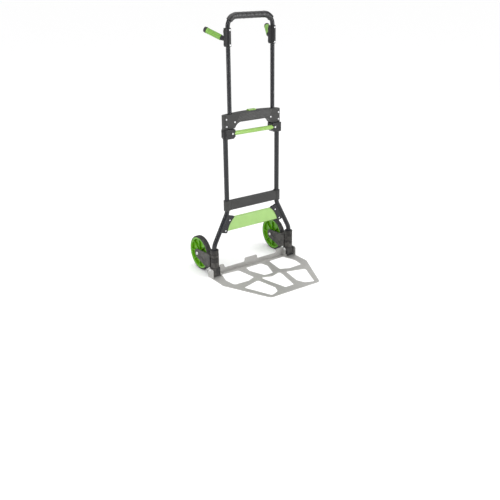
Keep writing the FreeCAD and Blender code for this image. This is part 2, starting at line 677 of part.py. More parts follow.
# ================================================================ release
BUTTON_LOW = "button_top - button_tall"
button_blank = fuse("button_blank",
                    box("button_cap", ("-button_half", "-9", BUTTON_LOW),
                        ("button_half", "9", "button_top")),
                    box("button_flange", ("-button_half - 2.5", "-10.2", BUTTON_LOW),
                        ("button_half + 2.5", "10.2", BUTTON_LOW + " + 4.6")),
                    box("cam_right", ("8", "-2.9", BUTTON_LOW + " - 20"),
                        ("button_half", "2.9", BUTTON_LOW)),
                    box("cam_left", ("-button_half", "-2.9", BUTTON_LOW + " - 20"),
                        ("-8", "2.9", BUTTON_LOW)))
button_cuts = [rod("button_spring_way", "5.4", "7", ("0", "0", BUTTON_LOW))]
PEG_X = "16"
PEG_Z = "latch_height - 5"
for side in (1, -1):
    slot = doc.addObject("Part::Box", "cam_slot")
    bind(slot, "Length", "button_travel * sqrt(2)")
    slot.Width = 12
    slot.Height = 3.6
    lean = FreeCAD.Rotation(V(0, 1, 0), -45)
    if side > 0:
        lean = FreeCAD.Rotation(V(0, 0, 1), 180).multiply(lean)
    shift = lean.multVec(V(0, -6, -1.8))
    slot.Placement.Rotation = lean
    for letter, formula, step in zip("xyz", ("%d * %s" % (side, PEG_X), "0", PEG_Z), shift):
        bind(slot, ".Placement.Base." + letter, "%s + (%.6f)" % (formula, step))
    button_cuts += [slot,
                    rod("cam_low_end", "1.8", "12", ("%d * %s" % (side, PEG_X), "-6", PEG_Z), "y"),
                    rod("cam_high_end", "1.8", "12",
                        ("%d * (%s - button_travel)" % (side, PEG_X), "-6",
                         PEG_Z + " + button_travel"), "y")]
keep("release_button", cut("release_button", button_blank, *button_cuts))
pair("latch", fuse("latch",
                   rod("latch_pin", "latch_rad", "upper_half - upper_rad - gap - 51",
                       ("51", "0", "latch_height"), "x"),
                   box("latch_block", ("50", "-3.5", "latch_height - 5"),
                       ("58", "6.4", "latch_height + 5")),
                   box("latch_arm", ("12", "3.4", "latch_height - 9"),
                       ("51", "6.4", "latch_height + 5")),
                   rod("latch_peg", "1.5", "6.5", (PEG_X, "-2.9", PEG_Z), "y")))

# ================================================================ wheel forks
FORK_FACE = "(fork_gap + fork_arm)"
HUB_Z = "wheel_rad"
arm_points = [("8", "sleeve_low"), ("27", "sleeve_low - 3"), ("40", "sleeve_low - 14"),
              ("wheel_back + 3", HUB_Z + " - 22"),
              (("wheel_back + 22", HUB_Z), ("wheel_back + 5", HUB_Z + " + 22")),
              ("30", HUB_Z + " + 28"), ("8", HUB_Z + " + 28")]
fork_arms = [plate("fork_arm_" + tag, "YZ_Plane", arm_points, start, "fork_arm")
             for tag, start in (("outer", "foot_half + fork_gap"),
                                ("inner", "foot_half - " + FORK_FACE))]
grooves = [plate("fork_groove_" + tag, "YZ_Plane", [
    ("50", HUB_Z + " - 21"), ("wheel_back - 13", HUB_Z + " - 2"),
    ("wheel_back - 14", HUB_Z + " + 1.6"), ("49", HUB_Z + " - 17.4")], start, "2")
    for tag, start in (("outer", "foot_half + " + FORK_FACE + " - 1"),
                       ("inner", "foot_half - fork_gap - fork_arm - 1"))]
sleeve_rings = [tube("sleeve_ring_%d" % n, "sleeve_rad + 4", "sleeve_rad - 2.2", "4",
                     ("foot_half", "0", level))
                for n, level in enumerate(("sleeve_low + 26", "sleeve_low + 44",
                                           "sleeve_low + 62"))]
fork = cut("fork", fuse("fork_blank",
                        cut("fork_sleeve",
                            rod("fork_barrel", "sleeve_rad", "sleeve_high - sleeve_low",
                                ("foot_half", "0", "sleeve_low")), *sleeve_rings),
                        box("fork_bridge", ("foot_half - " + FORK_FACE, "8",
                                            "sleeve_low"),
                            ("foot_half + " + FORK_FACE, "46", HUB_Z + " + 28")),
                        *fork_arms),
           rod("fork_wheel_room", "wheel_rad + 3.2", "2 * fork_gap",
               ("foot_half - fork_gap", "wheel_back", HUB_Z), "x"),
           rod("fork_bore", "lower_rad + swivel_fit", "150",
               ("foot_half", "0", "sleeve_low - 10")),
           rod("fork_axle_way", "axle_rad", "80", ("foot_half - 40", "wheel_back", HUB_Z), "x"),
           *grooves)
pair("fork", fork)
pair("axle_bolt", fuse("axle_bolt",
                       rod("axle_shank", "axle_rad", "2 * %s + 6" % FORK_FACE,
                           ("foot_half - %s - 6" % FORK_FACE, "wheel_back", HUB_Z), "x"),
                       rod("axle_head", "axle_head_rad", "4.5",
                           ("foot_half + " + FORK_FACE, "wheel_back", HUB_Z), "x")))
pair("axle_nut", tube("axle_nut", "axle_head_rad", "axle_rad", "5",
                      ("foot_half - fork_gap - fork_arm - 5", "wheel_back", HUB_Z), "x"))

# ================================================================ wheels
def at_axle(body):
    return place(body, ("foot_half", "wheel_back", "wheel_rad"))


WELL = "wheel_half - 2"
rim_ring = spun("rim_ring", with_twin([
    (WELL, "rim_rad"), ("wheel_half", "rim_rad"), ("wheel_half", "rim_rad - 3.5"),
    (WELL, "bead_rad - 4"), ("2.5", "bead_rad - 6"), ("2.5", "hub_rad + 3"),
    ("fork_gap - gap - 3", "hub_rad"), ("fork_gap - gap", "hub_rad"),
    ("fork_gap - gap", "bush_rad")]))
rim_groove = spun("rim_groove", with_twin([(WELL, "bead_rad"), (WELL, "rim_rad + 3")]))
rib = new_body("rim_rib")
outline(new_sketch(rib, "XY_Plane", "rib_outline", "-1.6"), with_twin([
    ("9", "hub_rad - 1"), ("wheel_half - 1.5", "bead_rad - 4.5")]))
pad(rib, rib.Group[0], "3.2")
doc.recompute()
ribs = rib.newObject("PartDesign::PolarPattern", "rim_ribs")
ribs.Originals = [rib.Group[1]]
ribs.Axis = ([f for f in rib.Origin.OriginFeatures if f.Role == "X_Axis"][0], [""])
ribs.Angle = 360
ribs.Occurrences = 8
rib.Tip = ribs
rim = cut("rim", fuse("rim_blank", at_axle(rim_ring), at_axle(rib)), at_axle(rim_groove))
pair("wheel_rim", rim)
tyre = spun("tyre", with_twin([
    (WELL, "bead_rad"), (WELL, "rim_rad + 0.2"), ("wheel_half + 0.2", "rim_rad + 0.2"),
    (("wheel_half - 1.6", "wheel_rad - 2"), ("wheel_half - 6", "wheel_rad"))]))
pair("tyre", at_axle(tyre))
pair("wheel_bush", tube("wheel_bush", "bush_rad", "axle_rad + swivel_fit", "2 * (fork_gap - gap)",
                        ("foot_half - fork_gap + gap", "wheel_back", HUB_Z), "x"))

# ================================================================ toe plate
HOLES = {
    "hole_rear": (12, [("90", "-7"), ("182", "-2"), ("203", "-72"), ("196", "-133"),
                       ("118", "-136"), ("74", "-116")]),
    "hole_front": (11, [("80", "-154"), ("179", "-182"), ("121", "-319"), ("76", "-300"),
                        ("61", "-262")]),
    "hole_mid_rear": (13, [("-46", "-4"), ("46", "-4"), ("54", "-48"), ("25", "-131"),
                           ("-25", "-131"), ("-54", "-48")]),
    "hole_mid_front": (8, [("-54", "-138"), ("0", "-158"), ("54", "-138"), ("52", "-170"),
                           ("25", "-289"), ("-25", "-289"), ("-52", "-170")]),
}
deck = new_body("deck")
outline(new_sketch(deck, "XY_Plane", "deck_outline"), [
    ("-plate_half", "plate_rear"), ("-plate_half", "-112"), ("-138", "-333"), ("138", "-333"),
    ("plate_half", "-112"), ("plate_half", "plate_rear")])
pad(deck, deck.Group[0], "sheet")
round_edges(deck, "20", lambda p, q: upright(p, q) and p.y < -50)
for name, (radius, corners) in HOLES.items():
    sides = (1, -1) if corners[0][0][0] != "-" else (1,)
    for side in sides:
        opening = new_sketch(deck, "XY_Plane", "%s_%d" % (name, side))
        outline(opening, [("%d * (%s)" % (side, x), y) for x, y in corners])
        before = [e.CenterOfMass for e in deck.Shape.Edges] if deck.Shape else []
        pocket_up(deck, opening, "2 * sheet")
        doc.recompute()
        round_edges(deck, str(radius), lambda p, q: upright(p, q) and not any(
            (V(p.x, p.y, c.z) - c).Length < 1e-3 for c in before))
# the flange's dips leave room for the folded wheels, whose rims pass through its plane
FLANGE_EDGE = [
    ("ear_in + sheet", "0"), ("ear_in + sheet", "flange_high"), ("163", "flange_high"),
    (("156", "flange_high - 3"), ("153", "flange_high - 9")),
    (("150", "flange_dip + 3"), ("139", "flange_dip")), ("45", "flange_dip"),
    (("38", "flange_dip + 3"), ("36", "flange_high - 10")),
    (("35", "flange_high - 3"), ("29", "flange_high"))]
flange = plate("flange", "XZ_Plane", with_twin(FLANGE_EDGE), "-plate_rear", "sheet")
inner_ear = [("-16", "0"), ("plate_rear", "0"), ("plate_rear", "flange_high"),
             ("6.01", "hinge_height + 6.01"),
             (("-3.25", "hinge_height + 7.85"), ("-8.5", "hinge_height")), ("-8.5", "15"),
             ("-16", "11")]
outer_ear = [("-26", "0"), ("plate_rear", "0"), ("plate_rear", "ear_height - 14"),
             (("plate_rear - 4", "ear_height - 4"), ("plate_rear - 14", "ear_height")),
             ("-16", "ear_height"), (("-23", "ear_height - 3"), ("-26", "ear_height - 10"))]
ears = []
for side in (1, -1):
    for name, points, near in (("ear_inner", inner_ear, "ear_in"),
                               ("ear_outer", outer_ear, "ear_out")):
        start = near if side > 0 else "-%s - sheet" % near
        ears.append(plate("%s_%d" % (name, side), "YZ_Plane", points, start, "sheet"))
pin_ways = [rod("hinge_way", "pin_rad", "70",
                ("%d * foot_half - 35" % side, "0", "hinge_height"), "x") for side in (1, -1)]
keep("toe_plate", cut("toe_plate", fuse("toe_plate_blank", deck, flange, *ears), *pin_ways))
pair("hinge_pin", fuse("hinge_pin",
                       rod("hinge_shank", "pin_rad", "ear_out - ear_in + sheet",
                           ("ear_in", "0", "hinge_height"), "x"),
                       rod("hinge_head", "6.5", "2.4", ("ear_in - 2.4", "0", "hinge_height"), "x"),
                       rod("hinge_tail", "5.5", "1.6",
                           ("ear_out + sheet", "0", "hinge_height"), "x")))

# ---------------------------------------------------------------- check and write
doc.recompute()
faults = [thing.Name for thing in doc.Objects
          if "Invalid" in thing.State or "Error" in thing.State]
for name, thing in nodes.items():
    if thing.Shape.isNull() or not thing.Shape.isValid():
        faults.append(name)
if faults:
    raise RuntimeError("failed objects: " + ", ".join(faults))
os.makedirs("parts", exist_ok=True)
for name, thing in nodes.items():
    thing.Shape.exportStep("parts/%s.step" % name)
print(len(nodes), "sub-parts written")
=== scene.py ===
import json
import math

import bmesh
import bpy
from bpy.props import FloatProperty, FloatVectorProperty, IntProperty, PointerProperty
from mathutils import Matrix, Vector


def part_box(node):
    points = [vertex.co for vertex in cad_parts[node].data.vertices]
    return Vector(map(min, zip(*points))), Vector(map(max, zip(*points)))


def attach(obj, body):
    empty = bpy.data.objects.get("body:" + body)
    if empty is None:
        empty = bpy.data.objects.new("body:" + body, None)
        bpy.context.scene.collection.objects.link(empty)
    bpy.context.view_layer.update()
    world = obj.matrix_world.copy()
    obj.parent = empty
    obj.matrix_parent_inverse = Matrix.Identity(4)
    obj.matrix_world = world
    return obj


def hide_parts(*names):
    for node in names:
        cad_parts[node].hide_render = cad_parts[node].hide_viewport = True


bl_info = {
    "name": "Folding Hand Truck",
    "version": (1, 0, 0),
    "blender": (4, 5, 0),
    "location": "View3D > Sidebar > Hand Truck",
    "description": "Builds the finishes, soft parts and fasteners of a folding hand truck",
    "category": "Object",
}

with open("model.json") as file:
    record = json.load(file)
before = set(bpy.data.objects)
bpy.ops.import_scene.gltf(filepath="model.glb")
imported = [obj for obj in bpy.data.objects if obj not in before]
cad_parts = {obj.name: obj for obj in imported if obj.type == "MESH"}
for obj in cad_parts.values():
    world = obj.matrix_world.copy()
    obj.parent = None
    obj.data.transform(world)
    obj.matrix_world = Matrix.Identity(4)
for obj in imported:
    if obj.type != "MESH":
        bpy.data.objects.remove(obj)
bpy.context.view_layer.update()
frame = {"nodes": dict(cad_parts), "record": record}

SIDES = (("left", -1), ("right", 1))
SLOT_OF = {part["node"]: part["material_slot"] for part in frame["record"]["subparts"]}
BODY_OF = {
    node: body
    for body, members in frame["record"]["behaviour"]["bodies"].items()
    for node in members
}
# The button is moulded plastic by its slot, and shows the pale green of the bar.
FINISH_OF = {**SLOT_OF, "release_button": "green_bar"}
MM = 0.001


# ------------------------------------------------------------------ what a user would change
class HandTruckSizes(bpy.types.PropertyGroup):
    """Sizes of the pieces that are modelled here"""

    sleeve_rounding: FloatProperty(
        name="Sleeve end rounding", description="Rounding of the foam sleeve's two ends",
        default=0.0032, min=0.0005, max=0.005, unit="LENGTH")
    sleeve_dimple: FloatProperty(
        name="Sleeve dimples", description="How far the foam sinks and swells along its length",
        default=0.00022, min=0.0, max=0.001, unit="LENGTH")
    grip_rib: FloatProperty(
        name="Grip rib depth", description="Depth of the rings moulded into the rear grips",
        default=0.0006, min=0.0, max=0.0015, unit="LENGTH")
    grip_rib_pitch: FloatProperty(
        name="Grip rib pitch", description="Distance between the rings of the rear grips",
        default=0.0055, min=0.003, max=0.02, unit="LENGTH")
    tread_depth: FloatProperty(
        name="Tread depth", description="Depth of the cross cuts in the tyre shoulders",
        default=0.0009, min=0.0, max=0.002, unit="LENGTH")
    tread_blocks: IntProperty(
        name="Tread blocks", description="Number of shoulder blocks round each tyre",
        default=96, min=24, max=180)
    rib_pitch: FloatProperty(
        name="Housing rib pitch", description="Distance between the slanted housing ribs",
        default=0.0076, min=0.003, max=0.02, unit="LENGTH")
    rib_height: FloatProperty(
        name="Housing rib height", description="How far the ribs stand out of the housing",
        default=0.0011, min=0.0002, max=0.002, unit="LENGTH")
    rib_lean: FloatProperty(
        name="Housing rib lean", description="Angle of the housing ribs from upright",
        default=math.radians(32), min=0.0, max=1.2, subtype="ANGLE")


class HandTruckColours(bpy.types.PropertyGroup):
    """Colours of the finishes"""

    tube: FloatVectorProperty(
        name="Tube", description="Powder coat of the frame and handle tubes",
        default=(0.009, 0.010, 0.013), size=3, min=0.0, max=1.0, subtype="COLOR")
    housing: FloatVectorProperty(
        name="Housing", description="Dark grey plastic of the housing and the crossbar",
        default=(0.038, 0.038, 0.037), size=3, min=0.0, max=1.0, subtype="COLOR")
    black: FloatVectorProperty(
        name="Black", description="Black plastic of clamps, collars and feet",
        default=(0.014, 0.014, 0.015), size=3, min=0.0, max=1.0, subtype="COLOR")
    fork: FloatVectorProperty(
        name="Fork", description="Warm grey plastic of the wheel forks",
        default=(0.019, 0.018, 0.017), size=3, min=0.0, max=1.0, subtype="COLOR")
    wheel: FloatVectorProperty(
        name="Wheel", description="Bright green plastic of the rims",
        default=(0.090, 0.290, 0.004), size=3, min=0.0, max=1.0, subtype="COLOR")
    grip: FloatVectorProperty(
        name="Grip", description="Green rubber of the rear grips",
        default=(0.158, 0.345, 0.045), size=3, min=0.0, max=1.0, subtype="COLOR")
    panel: FloatVectorProperty(
        name="Panel", description="Pale green paint of the back panel",
        default=(0.340, 0.550, 0.184), size=3, min=0.0, max=1.0, subtype="COLOR")
    bar: FloatVectorProperty(
        name="Bar", description="Pale green of the bar between the clamps and of the button",
        default=(0.272, 0.469, 0.108), size=3, min=0.0, max=1.0, subtype="COLOR")
    # The rib colour is the housing grey made lighter: a painted highlight of the light on the rib
    # tops.
    rib: FloatVectorProperty(
        name="Ribs", description="Rubbed, lighter plastic of the housing's ribs",
        default=(0.095, 0.095, 0.092), size=3, min=0.0, max=1.0, subtype="COLOR")
    foam: FloatVectorProperty(
        name="Foam", description="Closed-cell foam of the handle sleeve",
        default=(0.009, 0.009, 0.010), size=3, min=0.0, max=1.0, subtype="COLOR")
    tyre: FloatVectorProperty(
        name="Tyre", description="Rubber of the tyres",
        default=(0.010, 0.010, 0.010), size=3, min=0.0, max=1.0, subtype="COLOR")
    plate: FloatVectorProperty(
        name="Toe plate", description="Bare aluminium of the toe plate",
        default=(0.440, 0.435, 0.420), size=3, min=0.0, max=1.0, subtype="COLOR")
    zinc: FloatVectorProperty(
        name="Zinc", description="Plating of the screws, bolts and rivets",
        default=(0.760, 0.760, 0.770), size=3, min=0.0, max=1.0, subtype="COLOR")


class HandTruckStudio(bpy.types.PropertyGroup):
    """Stage, lights and camera"""

    floor: FloatVectorProperty(
        name="Floor", description="Colour of the floor",
        default=(0.930, 0.930, 0.930), size=3, min=0.0, max=1.0, subtype="COLOR")
    sky: FloatProperty(
        name="Fill", description="Strength of the even light from all round",
        default=0.42, min=0.0, max=3.0)
    overhead: FloatProperty(
        name="Overhead", description="Strength of the wide soft light from above",
        default=2.15, min=0.0, max=10.0)
    key: FloatProperty(
        name="Key light", description="Power of the large light at the front left",
        default=40.0, min=0.0, max=500.0, unit="POWER")
    strips: FloatProperty(
        name="Strip lights", description="Power of each tall light that draws a line on the tubes",
        default=40.0, min=0.0, max=500.0, unit="POWER")
    lens: FloatProperty(
        name="Lens", description="Focal length of the camera on a 36 mm sensor",
        default=47.75, min=10.0, max=200.0, unit="CAMERA")
    stand: FloatVectorProperty(
        name="Camera place", description="Where the camera stands",
        default=(-1.68222, -2.40832, 1.29813), size=3, subtype="TRANSLATION", unit="LENGTH")
    aim: FloatVectorProperty(
        name="Camera aim", description="The point in the middle of the view",
        default=(-0.0163, 0.0, 0.0842), size=3, subtype="TRANSLATION", unit="LENGTH")
    roll: FloatProperty(
        name="Camera roll", description="Turn of the camera about its own line of sight",
        default=math.radians(-0.691), min=-1.0, max=1.0, subtype="ANGLE")


# ------------------------------------------------------------------ shared effects
def new_group(name, inputs, outputs):
    """A shader node group with float or vector inputs and float outputs."""
    tree = bpy.data.node_groups.new(name, "ShaderNodeTree")
    for label, default in inputs:
        kind = "NodeSocketVector" if isinstance(default, tuple) else "NodeSocketFloat"
        socket = tree.interface.new_socket(name=label, in_out="INPUT", socket_type=kind)
        socket.default_value = default
    for label in outputs:
        tree.interface.new_socket(name=label, in_out="OUTPUT", socket_type="NodeSocketFloat")
    return tree, tree.nodes.new("NodeGroupInput"), tree.nodes.new("NodeGroupOutput")


def wire(tree, source, target):
    """Link an output to an input."""
    tree.links.new(source, target)


def calculate(tree, operation, first, second):
    """A Math node; each operand is a socket or a number."""
    node = tree.nodes.new("ShaderNodeMath")
    node.operation = operation
    for socket, operand in zip(node.inputs, (first, second)):
        if isinstance(operand, (int, float)):
            socket.default_value = operand
        else:
            wire(tree, operand, socket)
    return node.outputs[0]


def noise(tree, vector, scale, detail, roughness=0.55):
    """A noise texture's value; the scale is a socket or a number."""
    node = tree.nodes.new("ShaderNodeTexNoise")
    wire(tree, vector, node.inputs["Vector"])
    if isinstance(scale, (int, float)):
        node.inputs["Scale"].default_value = scale
    else:
        wire(tree, scale, node.inputs["Scale"])
    node.inputs["Detail"].default_value = detail
    node.inputs["Roughness"].default_value = roughness
    return node.outputs["Fac"]


def spread(tree, value, low, high, to_low=0.0, to_high=1.0):
    """Stretch the part of a value between low and high over a new range, and stop at its ends."""
    node = tree.nodes.new("ShaderNodeMapRange")
    node.interpolation_type = "SMOOTHSTEP"
    wire(tree, value, node.inputs["Value"])
    for label, limit in (("From Min", low), ("From Max", high),
                         ("To Min", to_low), ("To Max", to_high)):
        if isinstance(limit, (int, float)):
            node.inputs[label].default_value = limit
        else:
            wire(tree, limit, node.inputs[label])
    return node.outputs["Result"]


def moulded_grain():
    """Spark-eroded grain of a plastic moulding: a fine height and a slow change of tone."""
    tree, given, out = new_group(
        "Moulded Grain", (("Place", (0.0, 0.0, 0.0)), ("Scale", 1400.0)), ("Height", "Tone"))
    fine = noise(tree, given.outputs["Place"], given.outputs["Scale"], 3.0)
    cells = tree.nodes.new("ShaderNodeTexVoronoi")
    wire(tree, given.outputs["Place"], cells.inputs["Vector"])
    wire(tree, given.outputs["Scale"], cells.inputs["Scale"])
    pits = spread(tree, cells.outputs["Distance"], 0.1, 0.7)
    wire(tree, calculate(tree, "MULTIPLY", fine, pits), out.inputs["Height"])
    wire(tree, noise(tree, given.outputs["Place"], 22.0, 4.0), out.inputs["Tone"])
    return tree


def handling_wear():
    """Rubbed and scuffed patches, broken up by fine scratches."""
    tree, given, out = new_group(
        "Handling Wear",
        (("Place", (0.0, 0.0, 0.0)), ("Scale", 18.0), ("Amount", 0.3)), ("Mask", "Scratches"))
    patches = noise(tree, given.outputs["Place"], given.outputs["Scale"], 8.0, 0.7)
    edge = calculate(tree, "SUBTRACT", 0.78, calculate(
        tree, "MULTIPLY", given.outputs["Amount"], 0.4))
    top = calculate(tree, "ADD", edge, 0.12)
    wire(tree, spread(tree, patches, edge, top), out.inputs["Mask"])
    stretch = tree.nodes.new("ShaderNodeVectorMath")
    stretch.operation = "MULTIPLY"
    wire(tree, given.outputs["Place"], stretch.inputs[0])
    stretch.inputs[1].default_value = (1.0, 0.35, 0.06)
    lines = noise(tree, stretch.outputs["Vector"], 900.0, 2.0)
    wire(tree, spread(tree, lines, 0.66, 0.74), out.inputs["Scratches"])
    return tree


def rolled_streaks():
    """Fine parallel streaks of rolled or brushed metal, along the axis with the smallest stretch."""
    tree, given, out = new_group(
        "Rolled Streaks",
        (("Place", (0.0, 0.0, 0.0)), ("Stretch", (1.0, 1.0, 1.0)), ("Scale", 500.0)),
        ("Height", "Tone"))
    stretch = tree.nodes.new("ShaderNodeVectorMath")
    stretch.operation = "MULTIPLY"
    wire(tree, given.outputs["Place"], stretch.inputs[0])
    wire(tree, given.outputs["Stretch"], stretch.inputs[1])
    lines = noise(tree, stretch.outputs["Vector"], given.outputs["Scale"], 6.0, 0.7)
    wire(tree, lines, out.inputs["Height"])
    slow = noise(tree, given.outputs["Place"], 9.0, 5.0, 0.6)
    wire(tree, slow, out.inputs["Tone"])
    return tree


def ground_dust():
    """Dust that thins out with height above the ground."""
    tree, given, out = new_group(
        "Ground Dust", (("Place", (0.0, 0.0, 0.0)), ("Reach", 0.2), ("Amount", 0.3)), ("Mask",))
    split = tree.nodes.new("ShaderNodeSeparateXYZ")
    wire(tree, given.outputs["Place"], split.inputs["Vector"])
    height = calculate(tree, "DIVIDE", split.outputs["Z"], given.outputs["Reach"])
    fade = spread(tree, height, 0.0, 1.0, 1.0, 0.0)
    clouds = spread(tree, noise(tree, given.outputs["Place"], 45.0, 7.0, 0.65), 0.35, 0.75)
    mask = calculate(tree, "MULTIPLY", fade, clouds)
    wire(tree, calculate(tree, "MULTIPLY", mask, given.outputs["Amount"]), out.inputs["Mask"])
    return tree


GROUPS = {}


def shared_effects():
    """Build each shared effect once."""
    for make in (moulded_grain, handling_wear, rolled_streaks, ground_dust):
        tree = make()
        GROUPS[tree.name] = tree


# ------------------------------------------------------------------ material building blocks
class Finish:
    """One material while its nodes are put together."""

    def __init__(self, name, colour, roughness):
        self.material = bpy.data.materials.new(name)
        self.material.use_nodes = True
        self.tree = self.material.node_tree
        self.shader = self.tree.nodes["Principled BSDF"]
        self.place = self.tree.nodes.new("ShaderNodeTexCoord").outputs["Object"]
        self.colour = (*colour, 1.0)
        self.roughness = roughness
        self.heights = []
        self.material.diffuse_color = self.colour

    def effect(self, name, **values):
        """Place a shared effect with its own values."""
        node = self.tree.nodes.new("ShaderNodeGroup")
        node.node_tree = GROUPS[name]
        wire(self.tree, self.place, node.inputs["Place"])
        for label, number in values.items():
            node.inputs[label].default_value = number
        return node.outputs

    def blend_colour(self, mask, colour):
        """Lay a colour over the base colour where the mask is bright."""
        mix = self.tree.nodes.new("ShaderNodeMix")
        mix.data_type = "RGBA"
        wire(self.tree, mask, mix.inputs[0])
        if isinstance(self.colour, tuple):
            mix.inputs[6].default_value = self.colour
        else:
            wire(self.tree, self.colour, mix.inputs[6])
        mix.inputs[7].default_value = (*colour, 1.0)
        self.colour = mix.outputs[2]

    def blend_roughness(self, mask, roughness):
        """Move the roughness towards another value where the mask is bright."""
        mix = self.tree.nodes.new("ShaderNodeMix")
        mix.data_type = "FLOAT"
        wire(self.tree, mask, mix.inputs[0])
        if isinstance(self.roughness, (int, float)):
            mix.inputs[2].default_value = self.roughness
        else:
            wire(self.tree, self.roughness, mix.inputs[2])
        mix.inputs[3].default_value = roughness
        self.roughness = mix.outputs[0]

    def relief(self, height, depth, strength=1.0):
        """Add a bump of a real depth in metres."""
        self.heights.append((height, depth, strength))

    def done(self, **sockets):
        """Connect colour, roughness and bumps, and set the shader's plain sockets."""
        wire(self.tree, self.colour, self.shader.inputs["Base Color"])
        if isinstance(self.roughness, (int, float)):
            self.shader.inputs["Roughness"].default_value = self.roughness
        else:
            wire(self.tree, self.roughness, self.shader.inputs["Roughness"])
        normal = None
        for height, depth, strength in self.heights:
            bump = self.tree.nodes.new("ShaderNodeBump")
            bump.inputs["Distance"].default_value = depth
            bump.inputs["Strength"].default_value = strength
            wire(self.tree, height, bump.inputs["Height"])
            if normal:
                wire(self.tree, normal, bump.inputs["Normal"])
            normal = bump.outputs["Normal"]
        wire(self.tree, normal, self.shader.inputs["Normal"])
        for label, number in sockets.items():
            self.shader.inputs[label.replace("_", " ")].default_value = number
        return self.material


def shade(colour, factor):
    """A lighter or darker version of a colour."""
    return tuple(min(1.0, channel * factor) for channel in colour)


DUST = (0.33, 0.31, 0.28)
ACETAL = (0.014, 0.014, 0.014)
BLACK_OXIDE = (0.06, 0.06, 0.065)
SPRING_WIRE = (0.42, 0.42, 0.43)


# ------------------------------------------------------------------ the finishes
def powder_coat(name, colour, gloss=0.0):
    """Satin powder coat: orange peel, faint scuffs that show a lighter tone, a thin clear look."""
    made = Finish(name, colour, 0.2)
    grain = made.effect("Moulded Grain", Scale=620.0)
    wear = made.effect("Handling Wear", Scale=26.0, Amount=0.22)
    made.blend_colour(spread(made.tree, grain["Tone"], 0.3, 0.7, 0.0, 0.35), shade(colour, 1.22))
    made.blend_colour(calculate(made.tree, "MULTIPLY", wear["Mask"], 0.3), shade(colour, 1.7))
    made.blend_roughness(grain["Tone"], 0.28)
    made.blend_roughness(wear["Scratches"], 0.55)
    made.relief(grain["Height"], 0.00002, 0.2)
    return made.done(Coat_Weight=gloss, Coat_Roughness=0.14, Specular_IOR_Level=0.25)


def plastic(name, colour, roughness, grain_scale, dusty=0.0):
    """Grained moulding with a slow change of tone, rubbed patches and, low down, some dust."""
    made = Finish(name, colour, roughness)
    grain = made.effect("Moulded Grain", Scale=grain_scale)
    wear = made.effect("Handling Wear", Scale=30.0, Amount=0.3)
    made.blend_colour(spread(made.tree, grain["Tone"], 0.3, 0.7, 0.0, 0.5), shade(colour, 1.25))
    made.blend_colour(calculate(made.tree, "MULTIPLY", wear["Mask"], 0.35), shade(colour, 1.6))
    made.blend_roughness(grain["Tone"], roughness - 0.1)
    made.blend_roughness(calculate(made.tree, "MULTIPLY", wear["Mask"], 0.5), roughness + 0.12)
    if dusty:
        dust = made.effect("Ground Dust", Reach=0.22, Amount=dusty)
        made.blend_colour(dust["Mask"], DUST)
        made.blend_roughness(dust["Mask"], 0.9)
    made.relief(grain["Height"], 0.00006, 0.6)
    made.shader.inputs["Specular IOR Level"].default_value = 0.3
    return made


def housing_plastic(colours):
    """Dark grey moulding of the housing and the crossbar."""
    return plastic("Housing plastic", colours.housing, 0.5, 1500.0).done()


def rib_highlight_plastic(colours):
    """The smoother tops of the housing's ribs, lighter as a painted highlight."""
    return plastic("Rib plastic with painted highlight", colours.rib, 0.42, 1500.0).done()


def black_plastic(colours):
    """Black moulding, dusty where it is near the ground."""
    return plastic("Black plastic", colours.black, 0.42, 1500.0, dusty=0.25).done()


def fork_plastic(colours):
    """Warm grey moulding of the wheel forks, dusty low down."""
    return plastic("Fork plastic", colours.fork, 0.46, 1300.0, dusty=0.3).done()


def wheel_plastic(colours):
    """Bright moulding that lets a little light in."""
    made = plastic("Wheel plastic", colours.wheel, 0.26, 1700.0, dusty=0.04)
    return made.done(Subsurface_Weight=0.08, Subsurface_Scale=0.003)


def grip_rubber(colours):
    """Soft rubber with a matt skin and palm-worn patches."""
    made = Finish("Grip rubber", colours.grip, 0.62)
    grain = made.effect("Moulded Grain", Scale=900.0)
    wear = made.effect("Handling Wear", Scale=40.0, Amount=0.45)
    made.blend_colour(spread(made.tree, grain["Tone"], 0.3, 0.7, 0.0, 0.5),
                      shade(colours.grip, 0.86))
    made.blend_colour(calculate(made.tree, "MULTIPLY", wear["Mask"], 0.25),
                      shade(colours.grip, 0.7))
    made.blend_roughness(wear["Mask"], 0.42)
    made.relief(grain["Height"], 0.00012, 0.7)
    return made.done(Sheen_Weight=0.15, Sheen_Roughness=0.5)


def foam_skin(colours):
    """Closed-cell foam: open pores, painted darker as shade, in a slightly shiny skin."""
    made = Finish("Foam", colours.foam, 0.32)
    pores = made.tree.nodes.new("ShaderNodeTexVoronoi")
    wire(made.tree, made.place, pores.inputs["Vector"])
    pores.inputs["Scale"].default_value = 1100.0
    pits = spread(made.tree, pores.outputs["Distance"], 0.05, 0.45)
    grain = made.effect("Moulded Grain", Scale=420.0)
    wear = made.effect("Handling Wear", Scale=34.0, Amount=0.5)
    # Painted shade: the foam is darker in its pores.
    made.blend_colour(spread(made.tree, pits, 0.0, 0.6, 0.5, 0.0), shade(colours.foam, 0.45))
    made.blend_colour(calculate(made.tree, "MULTIPLY", grain["Tone"], 0.4),
                      shade(colours.foam, 1.5))
    made.blend_roughness(wear["Mask"], 0.28)
    made.relief(pits, 0.00002, 0.2)
    made.relief(grain["Height"], 0.00006, 0.25)
    return made.done(Specular_IOR_Level=0.6)


def tyre_rubber(colours):
    """Solid rubber, grey with dust on the tread."""
    made = Finish("Tyre rubber", colours.tyre, 0.66)
    grain = made.effect("Moulded Grain", Scale=800.0)
    wear = made.effect("Handling Wear", Scale=55.0, Amount=0.6)
    dust = made.effect("Ground Dust", Reach=0.3, Amount=0.35)
    made.blend_colour(calculate(made.tree, "MULTIPLY", grain["Tone"], 0.6),
                      shade(colours.tyre, 1.5))
    made.blend_colour(calculate(made.tree, "MULTIPLY", wear["Mask"], 0.35),
                      shade(colours.tyre, 2.6))
    made.blend_colour(calculate(made.tree, "MULTIPLY", dust["Mask"], 0.5), DUST)
    made.blend_roughness(wear["Mask"], 0.82)
    made.relief(grain["Height"], 0.00018, 0.7)
    return made.done()


